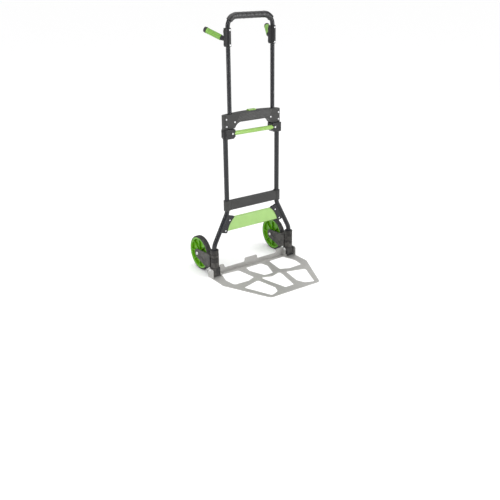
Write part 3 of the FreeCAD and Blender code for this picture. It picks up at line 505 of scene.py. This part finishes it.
def bare_sheet(colours):
    """Rolled aluminium sheet: lengthwise streaks, handling scratches and duller patches."""
    made = Finish("Bare aluminium", colours.plate, 0.5)
    streaks = made.effect("Rolled Streaks", Stretch=(1.0, 0.02, 1.0), Scale=700.0)
    wear = made.effect("Handling Wear", Scale=15.0, Amount=0.42)
    dust = made.effect("Ground Dust", Reach=0.05, Amount=0.18)
    made.blend_colour(spread(made.tree, streaks["Tone"], 0.3, 0.7, 0.0, 0.5),
                      shade(colours.plate, 0.86))
    made.blend_colour(spread(made.tree, streaks["Height"], 0.4, 0.7, 0.0, 0.3),
                      shade(colours.plate, 1.25))
    made.blend_colour(calculate(made.tree, "MULTIPLY", wear["Mask"], 0.4),
                      shade(colours.plate, 0.7))
    made.blend_colour(calculate(made.tree, "MULTIPLY", wear["Scratches"], 0.35),
                      shade(colours.plate, 1.4))
    made.blend_colour(dust["Mask"], DUST)
    made.blend_roughness(spread(made.tree, streaks["Tone"], 0.3, 0.7), 0.6)
    made.blend_roughness(wear["Scratches"], 0.28)
    made.relief(streaks["Height"], 0.00004, 0.6)
    made.relief(wear["Scratches"], 0.00003, 0.5)
    return made.done(Metallic=0.6, Anisotropic=0.35)


def plated(name, colour, roughness):
    """Turned and plated steel with a slight tarnish."""
    made = Finish(name, colour, roughness)
    streaks = made.effect("Rolled Streaks", Stretch=(1.0, 1.0, 0.3), Scale=1500.0)
    wear = made.effect("Handling Wear", Scale=130.0, Amount=0.5)
    made.blend_colour(spread(made.tree, streaks["Tone"], 0.3, 0.7, 0.0, 0.4), shade(colour, 0.8))
    made.blend_colour(calculate(made.tree, "MULTIPLY", wear["Mask"], 0.4), shade(colour, 0.55))
    made.blend_roughness(streaks["Height"], roughness + 0.16)
    made.relief(streaks["Height"], 0.00002, 0.5)
    return made.done(Metallic=0.95)


def black_acetal():
    """Slippery black plastic of the bushes and washers."""
    return plastic("Acetal", ACETAL, 0.34, 1200.0).done()


def finish_set(colours):
    """Every material, under the record's name for its slot."""
    return {
        "dark_tube": powder_coat("Tube powder coat", colours.tube, gloss=0.35),
        "green_sheet": powder_coat("Panel powder coat", colours.panel),
        "green_bar": powder_coat("Bar powder coat", colours.bar, gloss=0.1),
        "grey_plastic": housing_plastic(colours),
        "ribs": rib_highlight_plastic(colours),
        "black_plastic": black_plastic(colours),
        "fork_plastic": fork_plastic(colours),
        "green_plastic": wheel_plastic(colours),
        "green_grip": grip_rubber(colours),
        "foam": foam_skin(colours),
        "tyre": tyre_rubber(colours),
        "plate_metal": bare_sheet(colours),
        "zinc": plated("Zinc plate", colours.zinc, 0.26),
        "dark_steel": plated("Black oxide", BLACK_OXIDE, 0.42),
        "spring_steel": plated("Spring wire", SPRING_WIRE, 0.34),
        "acetal": black_acetal(),
    }


FINISHES = {}


# ------------------------------------------------------------------ mesh building blocks
def finished(name, form, node, smooth=None):
    """Make a piece from a bmesh, in place of a CAD node and with that node's finish and body."""
    bmesh.ops.recalc_face_normals(form, faces=form.faces)
    mesh = bpy.data.meshes.new(name)
    form.to_mesh(mesh)
    form.free()
    if "custom_normal" in mesh.attributes:
        mesh.attributes.remove(mesh.attributes["custom_normal"])
    mesh.materials.clear()
    mesh.materials.append(FINISHES[FINISH_OF[node]])
    for face in mesh.polygons:
        face.material_index = 0
        face.use_smooth = True
    if smooth is not None:
        mesh.set_sharp_from_angle(angle=math.radians(smooth))
    piece = bpy.data.objects.new(name, mesh)
    bpy.context.scene.collection.objects.link(piece)
    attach(piece, BODY_OF[node])
    return piece


def across(axis):
    """Two directions at right angles to an axis and to each other."""
    side = axis.cross(Vector((0, 0, 1)) if abs(axis.z) < 0.9 else Vector((1, 0, 0))).normalized()
    return side, axis.cross(side).normalized()


def add_rings(form, rings, closed):
    """Skin a run of rings of points.  A closed run joins its last ring to its first, and an open
    one gets an end face at each end."""
    loops = [[form.verts.new(point) for point in ring] for ring in rings]
    steps = len(loops[0])
    pairs = list(zip(loops, loops[1:] + ([loops[0]] if closed else [])))
    for first, second in pairs:
        for index in range(steps):
            after = (index + 1) % steps
            form.faces.new((first[index], first[after], second[after], second[index]))
    if not closed:
        form.faces.new(loops[0])
        form.faces.new(reversed(loops[-1]))


def turned(form, base, axis, profile, steps=48, closed=False):
    """Turn a profile of (distance along the axis, radius).  A radius is a number, or a function
    of the angle for shapes that aren't round."""
    side, other = across(axis)
    rings = []
    for along, radius in profile:
        ring = []
        for index in range(steps):
            angle = 2 * math.pi * index / steps
            reach = radius(angle) if callable(radius) else radius
            outward = side * math.cos(angle) + other * math.sin(angle)
            ring.append(base + axis * along + outward * reach)
        rings.append(ring)
    add_rings(form, rings, closed)


def hexagon(flat):
    """The radius at each angle of a hexagon with that distance from centre to flat."""
    def radius(angle):
        return flat / math.cos((angle + math.pi / 6) % (math.pi / 3) - math.pi / 6)
    return radius


def cross_slot(length, width):
    """The radius at each angle of a cross-head recess."""
    def radius(angle):
        lean = (angle + math.pi / 4) % (math.pi / 2) - math.pi / 4
        reach = length / math.cos(lean)
        narrow = width / max(abs(math.sin(lean)), 1e-6)
        return min(reach, narrow)
    return radius


def loose_parts(node):
    """The box of each separate solid in a CAD node."""
    form = bmesh.new()
    form.from_mesh(frame["nodes"][node].data)
    bmesh.ops.remove_doubles(form, verts=form.verts, dist=0.01 * MM)
    left, boxes = set(form.verts), []
    while left:
        reached, waiting = set(), [left.pop()]
        while waiting:
            vert = waiting.pop()
            reached.add(vert)
            for edge in vert.link_edges:
                next_vert = edge.other_vert(vert)
                if next_vert in left:
                    left.discard(next_vert)
                    waiting.append(next_vert)
        points = [vert.co for vert in reached]
        low = Vector(min(p[i] for p in points) for i in range(3))
        high = Vector(max(p[i] for p in points) for i in range(3))
        boxes.append((low, high))
    form.free()
    return sorted(boxes, key=lambda box: tuple(box[0]))


def softened(node, width):
    """A copy of a CAD node with its sharp outer edges rounded, shown in its place."""
    form = bmesh.new()
    form.from_mesh(frame["nodes"][node].data)
    bmesh.ops.remove_doubles(form, verts=form.verts, dist=0.005 * MM)
    bmesh.ops.dissolve_limit(form, angle_limit=math.radians(0.6), verts=form.verts,
                             edges=form.edges)
    sharp = [edge for edge in form.edges
             if len(edge.link_faces) == 2 and edge.is_convex
             and edge.calc_face_angle() > math.radians(35)]
    bmesh.ops.bevel(form, geom=sharp, offset=width, segments=2, profile=0.5,
                    affect="EDGES", clamp_overlap=True)
    piece = finished(node + "_rounded", form, node, smooth=42)
    weigh = piece.modifiers.new("Weighted normals", "WEIGHTED_NORMAL")
    weigh.keep_sharp = True
    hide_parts(node)
    return piece


# ------------------------------------------------------------------ operators
class HANDTRUCK_OT_finishes(bpy.types.Operator):
    """Build the shared effects and the finishes, and put them on the CAD nodes"""

    bl_idname = "handtruck.finishes"
    bl_label = "Finishes"

    def execute(self, context):
        shared_effects()
        FINISHES.update(finish_set(context.scene.hand_truck_colours))
        for name, node in frame["nodes"].items():
            node.data.materials.clear()
            node.data.materials.append(FINISHES[FINISH_OF[name]])
        return {"FINISHED"}


ROUNDED = {
    "housing_front": 1.3, "housing_rear": 1.3, "crossbar_front": 1.1, "crossbar_rear": 1.1,
    "clamp_left": 1.2, "clamp_right": 1.2, "grip_collar_left": 1.0, "grip_collar_right": 1.0,
    "grip_arm_left": 0.8, "grip_arm_right": 0.8, "grip_cap_left": 1.4, "grip_cap_right": 1.4,
    "foot_block_left": 1.2, "foot_block_right": 1.2, "fork_left": 1.3, "fork_right": 1.3,
    "panel_bracket_left": 0.6, "panel_bracket_right": 0.6, "release_button": 1.2,
    "toe_plate": 0.6, "wheel_rim_left": 0.6, "wheel_rim_right": 0.6,
}


class HANDTRUCK_OT_mouldings(bpy.types.Operator):
    """Round the sharp edges of the mouldings and of the toe plate"""

    bl_idname = "handtruck.mouldings"
    bl_label = "Mouldings"

    def execute(self, context):
        for node, width in ROUNDED.items():
            softened(node, width * MM)
        return {"FINISHED"}


LEG_X = 0.115
GRIP_Z = 1.145
BEND = 0.044
SLEEVE_FROM = math.radians(35)
SLEEVE_RADIUS = 0.014
SLEEVE_PIECES = 150
TUBE_RADIUS = 0.0095


def sleeve_route(pieces):
    """Centres and directions along the foam, from the right-hand bend over to the left."""
    centre_x, centre_z = LEG_X - BEND, GRIP_Z - BEND
    arc = BEND * (math.pi / 2 - SLEEVE_FROM)
    straight = 2 * centre_x
    route = []
    for index in range(pieces + 1):
        run = (2 * arc + straight) * index / pieces
        if run < arc:
            angle, shift = SLEEVE_FROM + run / BEND, centre_x
        elif run > arc + straight:
            angle, shift = math.pi / 2 + (run - arc - straight) / BEND, -centre_x
        else:
            angle, shift = math.pi / 2, centre_x - (run - arc)
        outward = Vector((math.cos(angle), 0, math.sin(angle)))
        route.append((run, Vector((shift, 0, centre_z)) + outward * BEND, outward))
    return route


class HANDTRUCK_OT_foam_sleeve(bpy.types.Operator):
    """Model the foam sleeve on the top of the handle"""

    bl_idname = "handtruck.foam_sleeve"
    bl_label = "Foam sleeve"

    def execute(self, context):
        sizes = context.scene.hand_truck_sizes
        route = sleeve_route(SLEEVE_PIECES)
        length = route[-1][0]
        rounding = sizes.sleeve_rounding
        outer, inner = [], []
        for run, centre, outward in route:
            outer.append(self.ring(run, centre, outward, length, rounding, sizes.sleeve_dimple))
            inner.append(self.circle(centre, outward, TUBE_RADIUS + 0.05 * MM))
        form = bmesh.new()
        add_rings(form, outer + inner[::-1], closed=True)
        sleeve = finished("foam_sleeve", form, "foam_grip", smooth=50)
        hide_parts("foam_grip")
        return {"FINISHED"}

    def circle(self, centre, outward, radius, steps=40):
        """Points round the sleeve's centre line."""
        side = Vector((0, 1, 0))
        points = []
        for index in range(steps):
            angle = 2 * math.pi * index / steps
            points.append(centre + (outward * math.cos(angle) + side * math.sin(angle)) * radius)
        return points

    def ring(self, run, centre, outward, length, rounding, dimple):
        """One ring of the skin, pulled in at the ends and uneven along its length."""
        near_end = min(run, length - run)
        drop = 0.0
        if near_end < rounding:
            drop = rounding - math.sqrt(max(0.0, rounding ** 2 - (rounding - near_end) ** 2))
        wander = dimple * (math.sin(run * 310) + 0.6 * math.sin(run * 173 + 1.3) - 1.6)
        return self.circle(centre, outward, SLEEVE_RADIUS - drop + wander)


GRIP_SPLAY = math.radians(29)
GRIP_TILT = math.radians(22)
GRIP_ROOT = (0.115, 0.0205, 1.051)
GRIP_RUN = (0.020, 0.093)
GRIP_RADIUS = 0.012
GRIP_CORE = 0.008


class HANDTRUCK_OT_hand_grips(bpy.types.Operator):
    """Model the ribbed rubber sleeves of the swinging rear grips"""

    bl_idname = "handtruck.hand_grips"
    bl_label = "Rear grips"

    def execute(self, context):
        sizes = context.scene.hand_truck_sizes
        for side, sign in SIDES:
            node = "hand_grip_" + side
            axis = Vector((sign * math.sin(GRIP_SPLAY) * math.cos(GRIP_TILT),
                           math.cos(GRIP_SPLAY) * math.cos(GRIP_TILT), math.sin(GRIP_TILT)))
            root = Vector((sign * GRIP_ROOT[0], GRIP_ROOT[1], GRIP_ROOT[2]))
            form = bmesh.new()
            turned(form, root, axis, self.profile(sizes), steps=48, closed=True)
            sleeve = finished("grip_sleeve_" + side, form, node, smooth=60)
            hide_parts(node)
        return {"FINISHED"}

    def profile(self, sizes):
        """Rounded ends, and rings between plain bands at each end."""
        first, last = GRIP_RUN
        rounding, band = 1.2 * MM, 7 * MM
        points = [(first, GRIP_CORE), (first, GRIP_RADIUS - rounding)]
        steps = 110
        for index in range(steps + 1):
            at = first + (last - first) * index / steps
            near_end = min(at - first, last - at)
            drop = 0.0
            if near_end < rounding:
                drop = rounding - math.sqrt(rounding ** 2 - (rounding - near_end) ** 2)
            if near_end > band:
                wave = math.sin(2 * math.pi * (at - first - band) / sizes.grip_rib_pitch)
                drop += sizes.grip_rib * max(0.0, wave) ** 0.6
            points.append((at, GRIP_RADIUS - drop))
        return points + [(last, GRIP_CORE)]


TYRE_BEAD = 0.071
TYRE_RIM = 0.0757


class HANDTRUCK_OT_tyres(bpy.types.Operator):
    """Model the solid tyres with a cut tread"""

    bl_idname = "handtruck.tyres"
    bl_label = "Tyres"

    def execute(self, context):
        sizes = context.scene.hand_truck_sizes
        for side, sign in SIDES:
            node = "tyre_" + side
            low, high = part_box(node)
            form = bmesh.new()
            turned(form, (low + high) / 2, Vector((1, 0, 0)), self.profile(low, high, sizes),
                   steps=sizes.tread_blocks * 4, closed=True)
            tyre = finished("tyre_tread_" + side, form, node, smooth=38)
            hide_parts(node)
        return {"FINISHED"}

    def block(self, radius, depth, blocks, shift):
        """A radius that drops in the cuts between blocks."""
        def at(angle):
            phase = (angle * blocks / (2 * math.pi) + shift) % 1.0
            return radius - (depth if phase > 0.7 else 0.0)
        return at

    def profile(self, low, high, sizes):
        """The tyre's section from one bead over the tread to the other."""
        wide, tall = (high.x - low.x) / 2, (high.z - low.z) / 2
        depth, blocks = sizes.tread_depth, sizes.tread_blocks

        def shoulder(radius, shift, share=1.0):
            return self.block(radius, depth * share, blocks, shift)

        half = [
            (0.0, tall), (1.0 * MM, tall), (1.3 * MM, tall - depth), (2.1 * MM, tall - depth),
            (2.4 * MM, tall), (4.6 * MM, tall), (4.9 * MM, tall - depth),
            (5.7 * MM, tall - depth), (6.0 * MM, shoulder(tall, 0.0)),
            (wide - 4.6 * MM, shoulder(tall - 0.3 * MM, 0.1)),
            (wide - 2.8 * MM, shoulder(tall - 1.2 * MM, 0.2)),
            (wide - 1.4 * MM, shoulder(tall - 2.6 * MM, 0.3, 0.7)),
            (wide - 0.5 * MM, tall - 4.2 * MM),
            (wide, TYRE_RIM + 1.0 * MM), (wide - 0.2 * MM, TYRE_RIM), (wide - 2.2 * MM, TYRE_RIM),
            (wide - 2.2 * MM, TYRE_BEAD)]
        return [(-x, radius) for x, radius in reversed(half[1:])] + half


HOUSE_FACE = 14 * MM
RIB_ZONE = (0.088, 0.7115)
RIB_BELOW_TOP = 4.5 * MM
RIB_END_SLOPE = 0.8 * MM
RIB_SUNK = 0.2 * MM
RIB_WIDTH_SHARE = 0.24
RIB_CREST_SHARE = 0.45
HOUSE_CROWN = ((0.151, 0.742), 0.749)


def house_top(x):
    """Height of the crowned top of the housing."""
    (end, low), high = HOUSE_CROWN
    return high - (high - low) * (x / end) ** 2


class HANDTRUCK_OT_housing_ribs(bpy.types.Operator):
    """Model the slanted ribs on both faces of the upper housing"""

    bl_idname = "handtruck.housing_ribs"
    bl_label = "Housing ribs"

    def execute(self, context):
        sizes = context.scene.hand_truck_sizes
        for node, face in (("housing_front", -1), ("housing_rear", 1)):
            form = bmesh.new()
            half, low = RIB_ZONE
            count = int(2 * half / sizes.rib_pitch)
            for index in range(count):
                self.rib(form, -half + (index + 0.5) * sizes.rib_pitch, low, face, sizes)
            ribs = finished("ribs_" + node, form, node, smooth=20)
            # The ribs wear the lighter rib finish, a painted highlight.
            ribs.data.materials[0] = FINISHES["ribs"]
        return {"FINISHED"}

    def rib(self, form, x, low, face, sizes):
        """One slanted rib with sloping flanks."""
        lean = math.tan(sizes.rib_lean)
        width = RIB_WIDTH_SHARE * sizes.rib_pitch
        top = house_top(x) - RIB_BELOW_TOP
        sides = ((-1, 1), (-RIB_CREST_SHARE, 0), (RIB_CREST_SHARE, 0), (1, 1))
        ends = []
        for height, inset in ((low, RIB_END_SLOPE), (top, -RIB_END_SLOPE)):
            ring = []
            for across_rib, sunk in sides:
                z = height + (0 if sunk else inset)
                out = HOUSE_FACE + (-RIB_SUNK if sunk else sizes.rib_height)
                ring.append(Vector((x + across_rib * width + (z - low) * lean, face * out, z)))
            ends.append(ring)
        add_rings(form, ends, closed=False)


NUT_BORE = 5.02 * MM
FLAT_OF_CORNER = 0.866
FASTENERS = (
    # node, direction out of the head, head radius, head height, shank radius, drive
    ("housing_screws", (0, -1, 0), 4.2, 3.2, 2.5, "cross"),
    ("collar_bolts", (0, -1, 0), 3.8, 2.0, 2.2, "cross"),
    ("clamp_screws", (0, -1, 0), 4.4, 2.2, 2.5, "cross"),
    ("crossbar_screws", (0, 1, 0), 3.6, 2.0, 2.0, "cross"),
    ("axle_bolt_left", (-1, 0, 0), 8.0, 4.5, 5.0, "socket"),
    ("axle_bolt_right", (1, 0, 0), 8.0, 4.5, 5.0, "socket"),
)
RIVETS = (
    # node, direction out of the head, head radius, head height, shank radius, tail radius, height
    ("panel_rivets", (0, -1, 0), 3.6, 1.8, 2.0, 3.2, 1.2),
    ("hinge_pin_left", (1, 0, 0), 6.5, 2.4, 4.0, 5.5, 1.6),
    ("hinge_pin_right", (-1, 0, 0), 6.5, 2.4, 4.0, 5.5, 1.6),
)


def dome(radius, height, top, steps=6):
    """The profile of a domed head whose crown is at top, from its rim inwards."""
    rim = 0.35 * height
    points = []
    for index in range(steps):
        angle = 0.5 * math.pi * index / steps
        points.append((top - height + rim + (height - rim) * math.sin(angle),
                       radius * (0.45 + 0.55 * math.cos(angle))))
    return points


def centre_of_end(box, axis):
    """The middle of a box's face on the axis side, and the box's length along the axis."""
    low, high = box
    half = (high - low) / 2
    reach = abs(half.dot(axis))
    return (low + high) / 2 + axis * reach, 2 * reach


class HANDTRUCK_OT_fasteners(bpy.types.Operator):
    """Model the screws, bolts, rivets and nuts"""

    bl_idname = "handtruck.fasteners"
    bl_label = "Fasteners"

    def execute(self, context):
        for node, outward, radius, height, shank, drive in FASTENERS:
            self.make(node, outward, self.screw(radius * MM, height * MM, shank * MM, drive))
        for node, outward, radius, height, shank, tail, tail_height in RIVETS:
            self.make(node, outward, self.rivet(radius * MM, height * MM, shank * MM,
                                                tail * MM, tail_height * MM))
        for side, sign in SIDES:
            self.nut("axle_nut_" + side, Vector((-sign, 0, 0)))
        return {"FINISHED"}

    def make(self, node, outward, profile_of):
        """One piece for all the like fasteners of a node."""
        axis = Vector(outward)
        form = bmesh.new()
        for box in loose_parts(node):
            top, length = centre_of_end(box, axis)
            turned(form, top, axis, profile_of(length), steps=48)
        piece = finished(node + "_detailed", form, node, smooth=35)
        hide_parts(node)

    def screw(self, radius, height, shank, drive):
        """A screw whose distances are measured from the top of its head."""
        if drive == "cross":
            recess = cross_slot(0.62 * radius, 0.13 * radius)
        else:
            recess = hexagon(0.42 * radius)
        depth = 0.62 * height

        def profile(length):
            head = [(-height, radius)] + [
                point for point in dome(radius, height, 0.0) if point[1] > 0.66 * radius]
            return [(-length, 0.8 * shank), (-length + 0.4 * shank, shank), (-height, shank),
                    *head, (-0.04 * height, 0.64 * radius), (-0.04 * height, recess),
                    (-depth, recess), (-depth - 0.1 * height, 0.05 * radius)]
        return profile

    def rivet(self, radius, height, shank, tail, tail_height):
        """A rivet with a domed head and a flattened tail."""
        def profile(length):
            return [(-length, 0.75 * tail), (-length + 0.4 * tail_height, tail),
                    (-length + tail_height, tail), (-length + tail_height, shank),
                    (-height, shank), (-height, radius), *dome(radius, height, 0.0),
                    (0.0, 0.12 * radius)]
        return profile

    def nut(self, node, axis):
        """A hexagon nut with a collar for its locking ring."""
        low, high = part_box(node)
        top, length = centre_of_end((low, high), axis)
        flat = (high.z - low.z) / 2 * FLAT_OF_CORNER
        body = 0.74 * length
        profile = [(-length, NUT_BORE), (-length, 0.9 * flat), (-length + 0.4 * MM, hexagon(flat)),
                   (-length + body - 0.4 * MM, hexagon(flat)), (-length + body, 0.92 * flat),
                   (-0.5 * MM, 0.84 * flat), (0.0, 0.76 * flat), (0.0, NUT_BORE)]
        form = bmesh.new()
        turned(form, top, axis, profile, steps=48, closed=True)
        piece = finished(node + "_detailed", form, node, smooth=35)
        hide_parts(node)


KEY_PLACE, KEY_AIM, KEY_SIZE = (-2.6, -2.6, 3.2), (0, 0, 0.5), (2.4, 2.4)
RIGHT_STRIP_PLACE, LEFT_STRIP_PLACE = (1.5, -2.6, 1.2), (-3.0, 0.2, 1.2)
STRIP_AIM, STRIP_SIZE = (0, 0, 0.8), (0.14, 3.6)
OVERHEAD_SPREAD = math.radians(80)
FLOOR_REACH = 60.0


def light(name, place, aim, size, power):
    """A rectangular white light that faces a point."""
    lamp = bpy.data.lights.new(name, "AREA")
    lamp.shape = "RECTANGLE"
    lamp.size, lamp.size_y = size
    lamp.energy = power
    holder = bpy.data.objects.new(name, lamp)
    bpy.context.scene.collection.objects.link(holder)
    holder.location = place
    direction = Vector(aim) - Vector(place)
    holder.rotation_mode = "QUATERNION"
    holder.rotation_quaternion = direction.to_track_quat("-Z", "Y")


class HANDTRUCK_OT_studio(bpy.types.Operator):
    """Set the floor, the lights and the camera"""

    bl_idname = "handtruck.studio"
    bl_label = "Studio"

    def execute(self, context):
        studio = context.scene.hand_truck_studio
        self.floor(studio)
        self.sky(context.scene, studio)
        light("Key light", KEY_PLACE, KEY_AIM, KEY_SIZE, studio.key)
        light("Right strip", RIGHT_STRIP_PLACE, STRIP_AIM, STRIP_SIZE, studio.strips)
        light("Left strip", LEFT_STRIP_PLACE, STRIP_AIM, STRIP_SIZE, studio.strips)
        self.overhead(studio)
        self.camera(context.scene, studio)
        context.scene.view_settings.view_transform = "Standard"
        return {"FINISHED"}

    def floor(self, studio):
        """A wide pale floor."""
        mesh = bpy.data.meshes.new("floor")
        reach = FLOOR_REACH
        mesh.from_pydata([(-reach, -reach, 0), (reach, -reach, 0), (reach, reach, 0),
                          (-reach, reach, 0)], [], [(0, 1, 2, 3)])
        floor = bpy.data.objects.new("floor", mesh)
        bpy.context.scene.collection.objects.link(floor)
        made = Finish("Studio floor", studio.floor, 0.8)
        tone = noise(made.tree, made.place, 3.0, 3.0)
        made.blend_colour(calculate(made.tree, "MULTIPLY", tone, 0.04), shade(studio.floor, 0.94))
        made.relief(noise(made.tree, made.place, 300.0, 2.0), 0.00005, 0.3)
        mesh.materials.append(made.done())

    def overhead(self, studio):
        """An even light straight down, wide enough to leave only faint shadows."""
        lamp = bpy.data.lights.new("Overhead light", "SUN")
        lamp.energy = studio.overhead
        lamp.angle = OVERHEAD_SPREAD
        bpy.context.scene.collection.objects.link(bpy.data.objects.new("Overhead light", lamp))

    def sky(self, scene, studio):
        """Even white light from all round."""
        world = bpy.data.worlds.new("Studio light")
        world.use_nodes = True
        background = world.node_tree.nodes["Background"]
        background.inputs["Color"].default_value = (1.0, 1.0, 1.0, 1.0)
        background.inputs["Strength"].default_value = studio.sky
        scene.world = world

    def camera(self, scene, studio):
        """A camera that looks at its aim, turned a little about its line of sight."""
        lens = bpy.data.cameras.new("Studio camera")
        lens.lens = studio.lens
        lens.sensor_width = 36.0
        camera = bpy.data.objects.new("Studio camera", lens)
        scene.collection.objects.link(camera)
        stand, aim = Vector(studio.stand), Vector(studio.aim)
        ahead = (aim - stand).normalized()
        level = ahead.cross(Vector((0, 0, 1))).normalized()
        above = level.cross(ahead)
        right = level * math.cos(studio.roll) + above * math.sin(studio.roll)
        up = above * math.cos(studio.roll) - level * math.sin(studio.roll)
        turn = Matrix((right, up, -ahead)).transposed()
        camera.matrix_world = Matrix.Translation(stand) @ turn.to_4x4()
        scene.camera = camera


STEPS = (
    HANDTRUCK_OT_finishes, HANDTRUCK_OT_mouldings, HANDTRUCK_OT_foam_sleeve,
    HANDTRUCK_OT_hand_grips, HANDTRUCK_OT_tyres, HANDTRUCK_OT_housing_ribs,
    HANDTRUCK_OT_fasteners, HANDTRUCK_OT_studio,
)
SETTINGS = (
    ("hand_truck_sizes", HandTruckSizes), ("hand_truck_colours", HandTruckColours),
    ("hand_truck_studio", HandTruckStudio),
)


class HANDTRUCK_PT_panel(bpy.types.Panel):
    """Lists the pieces of the hand truck and what can be changed about them"""

    bl_idname = "HANDTRUCK_PT_panel"
    bl_label = "Hand Truck"
    bl_space_type = "VIEW_3D"
    bl_region_type = "UI"
    bl_category = "Hand Truck"

    def draw(self, context):
        for step in STEPS:
            self.layout.operator(step.bl_idname)
        for name, group in SETTINGS:
            box = self.layout.box()
            box.label(text=group.bl_rna.description)
            for entry in group.__annotations__:
                box.prop(getattr(context.scene, name), entry)


CLASSES = (*[group for _, group in SETTINGS], *STEPS, HANDTRUCK_PT_panel)


def register():
    for entry in CLASSES:
        bpy.utils.register_class(entry)
    for name, group in SETTINGS:
        setattr(bpy.types.Scene, name, PointerProperty(type=group))


def unregister():
    for name, _ in SETTINGS:
        delattr(bpy.types.Scene, name)
    for entry in reversed(CLASSES):
        bpy.utils.unregister_class(entry)


def main():
    register()
    bpy.ops.handtruck.finishes()
    bpy.ops.handtruck.mouldings()
    bpy.ops.handtruck.foam_sleeve()
    bpy.ops.handtruck.hand_grips()
    bpy.ops.handtruck.tyres()
    bpy.ops.handtruck.housing_ribs()
    bpy.ops.handtruck.fasteners()
    bpy.ops.handtruck.studio()


if __name__ == "__main__":
    main()
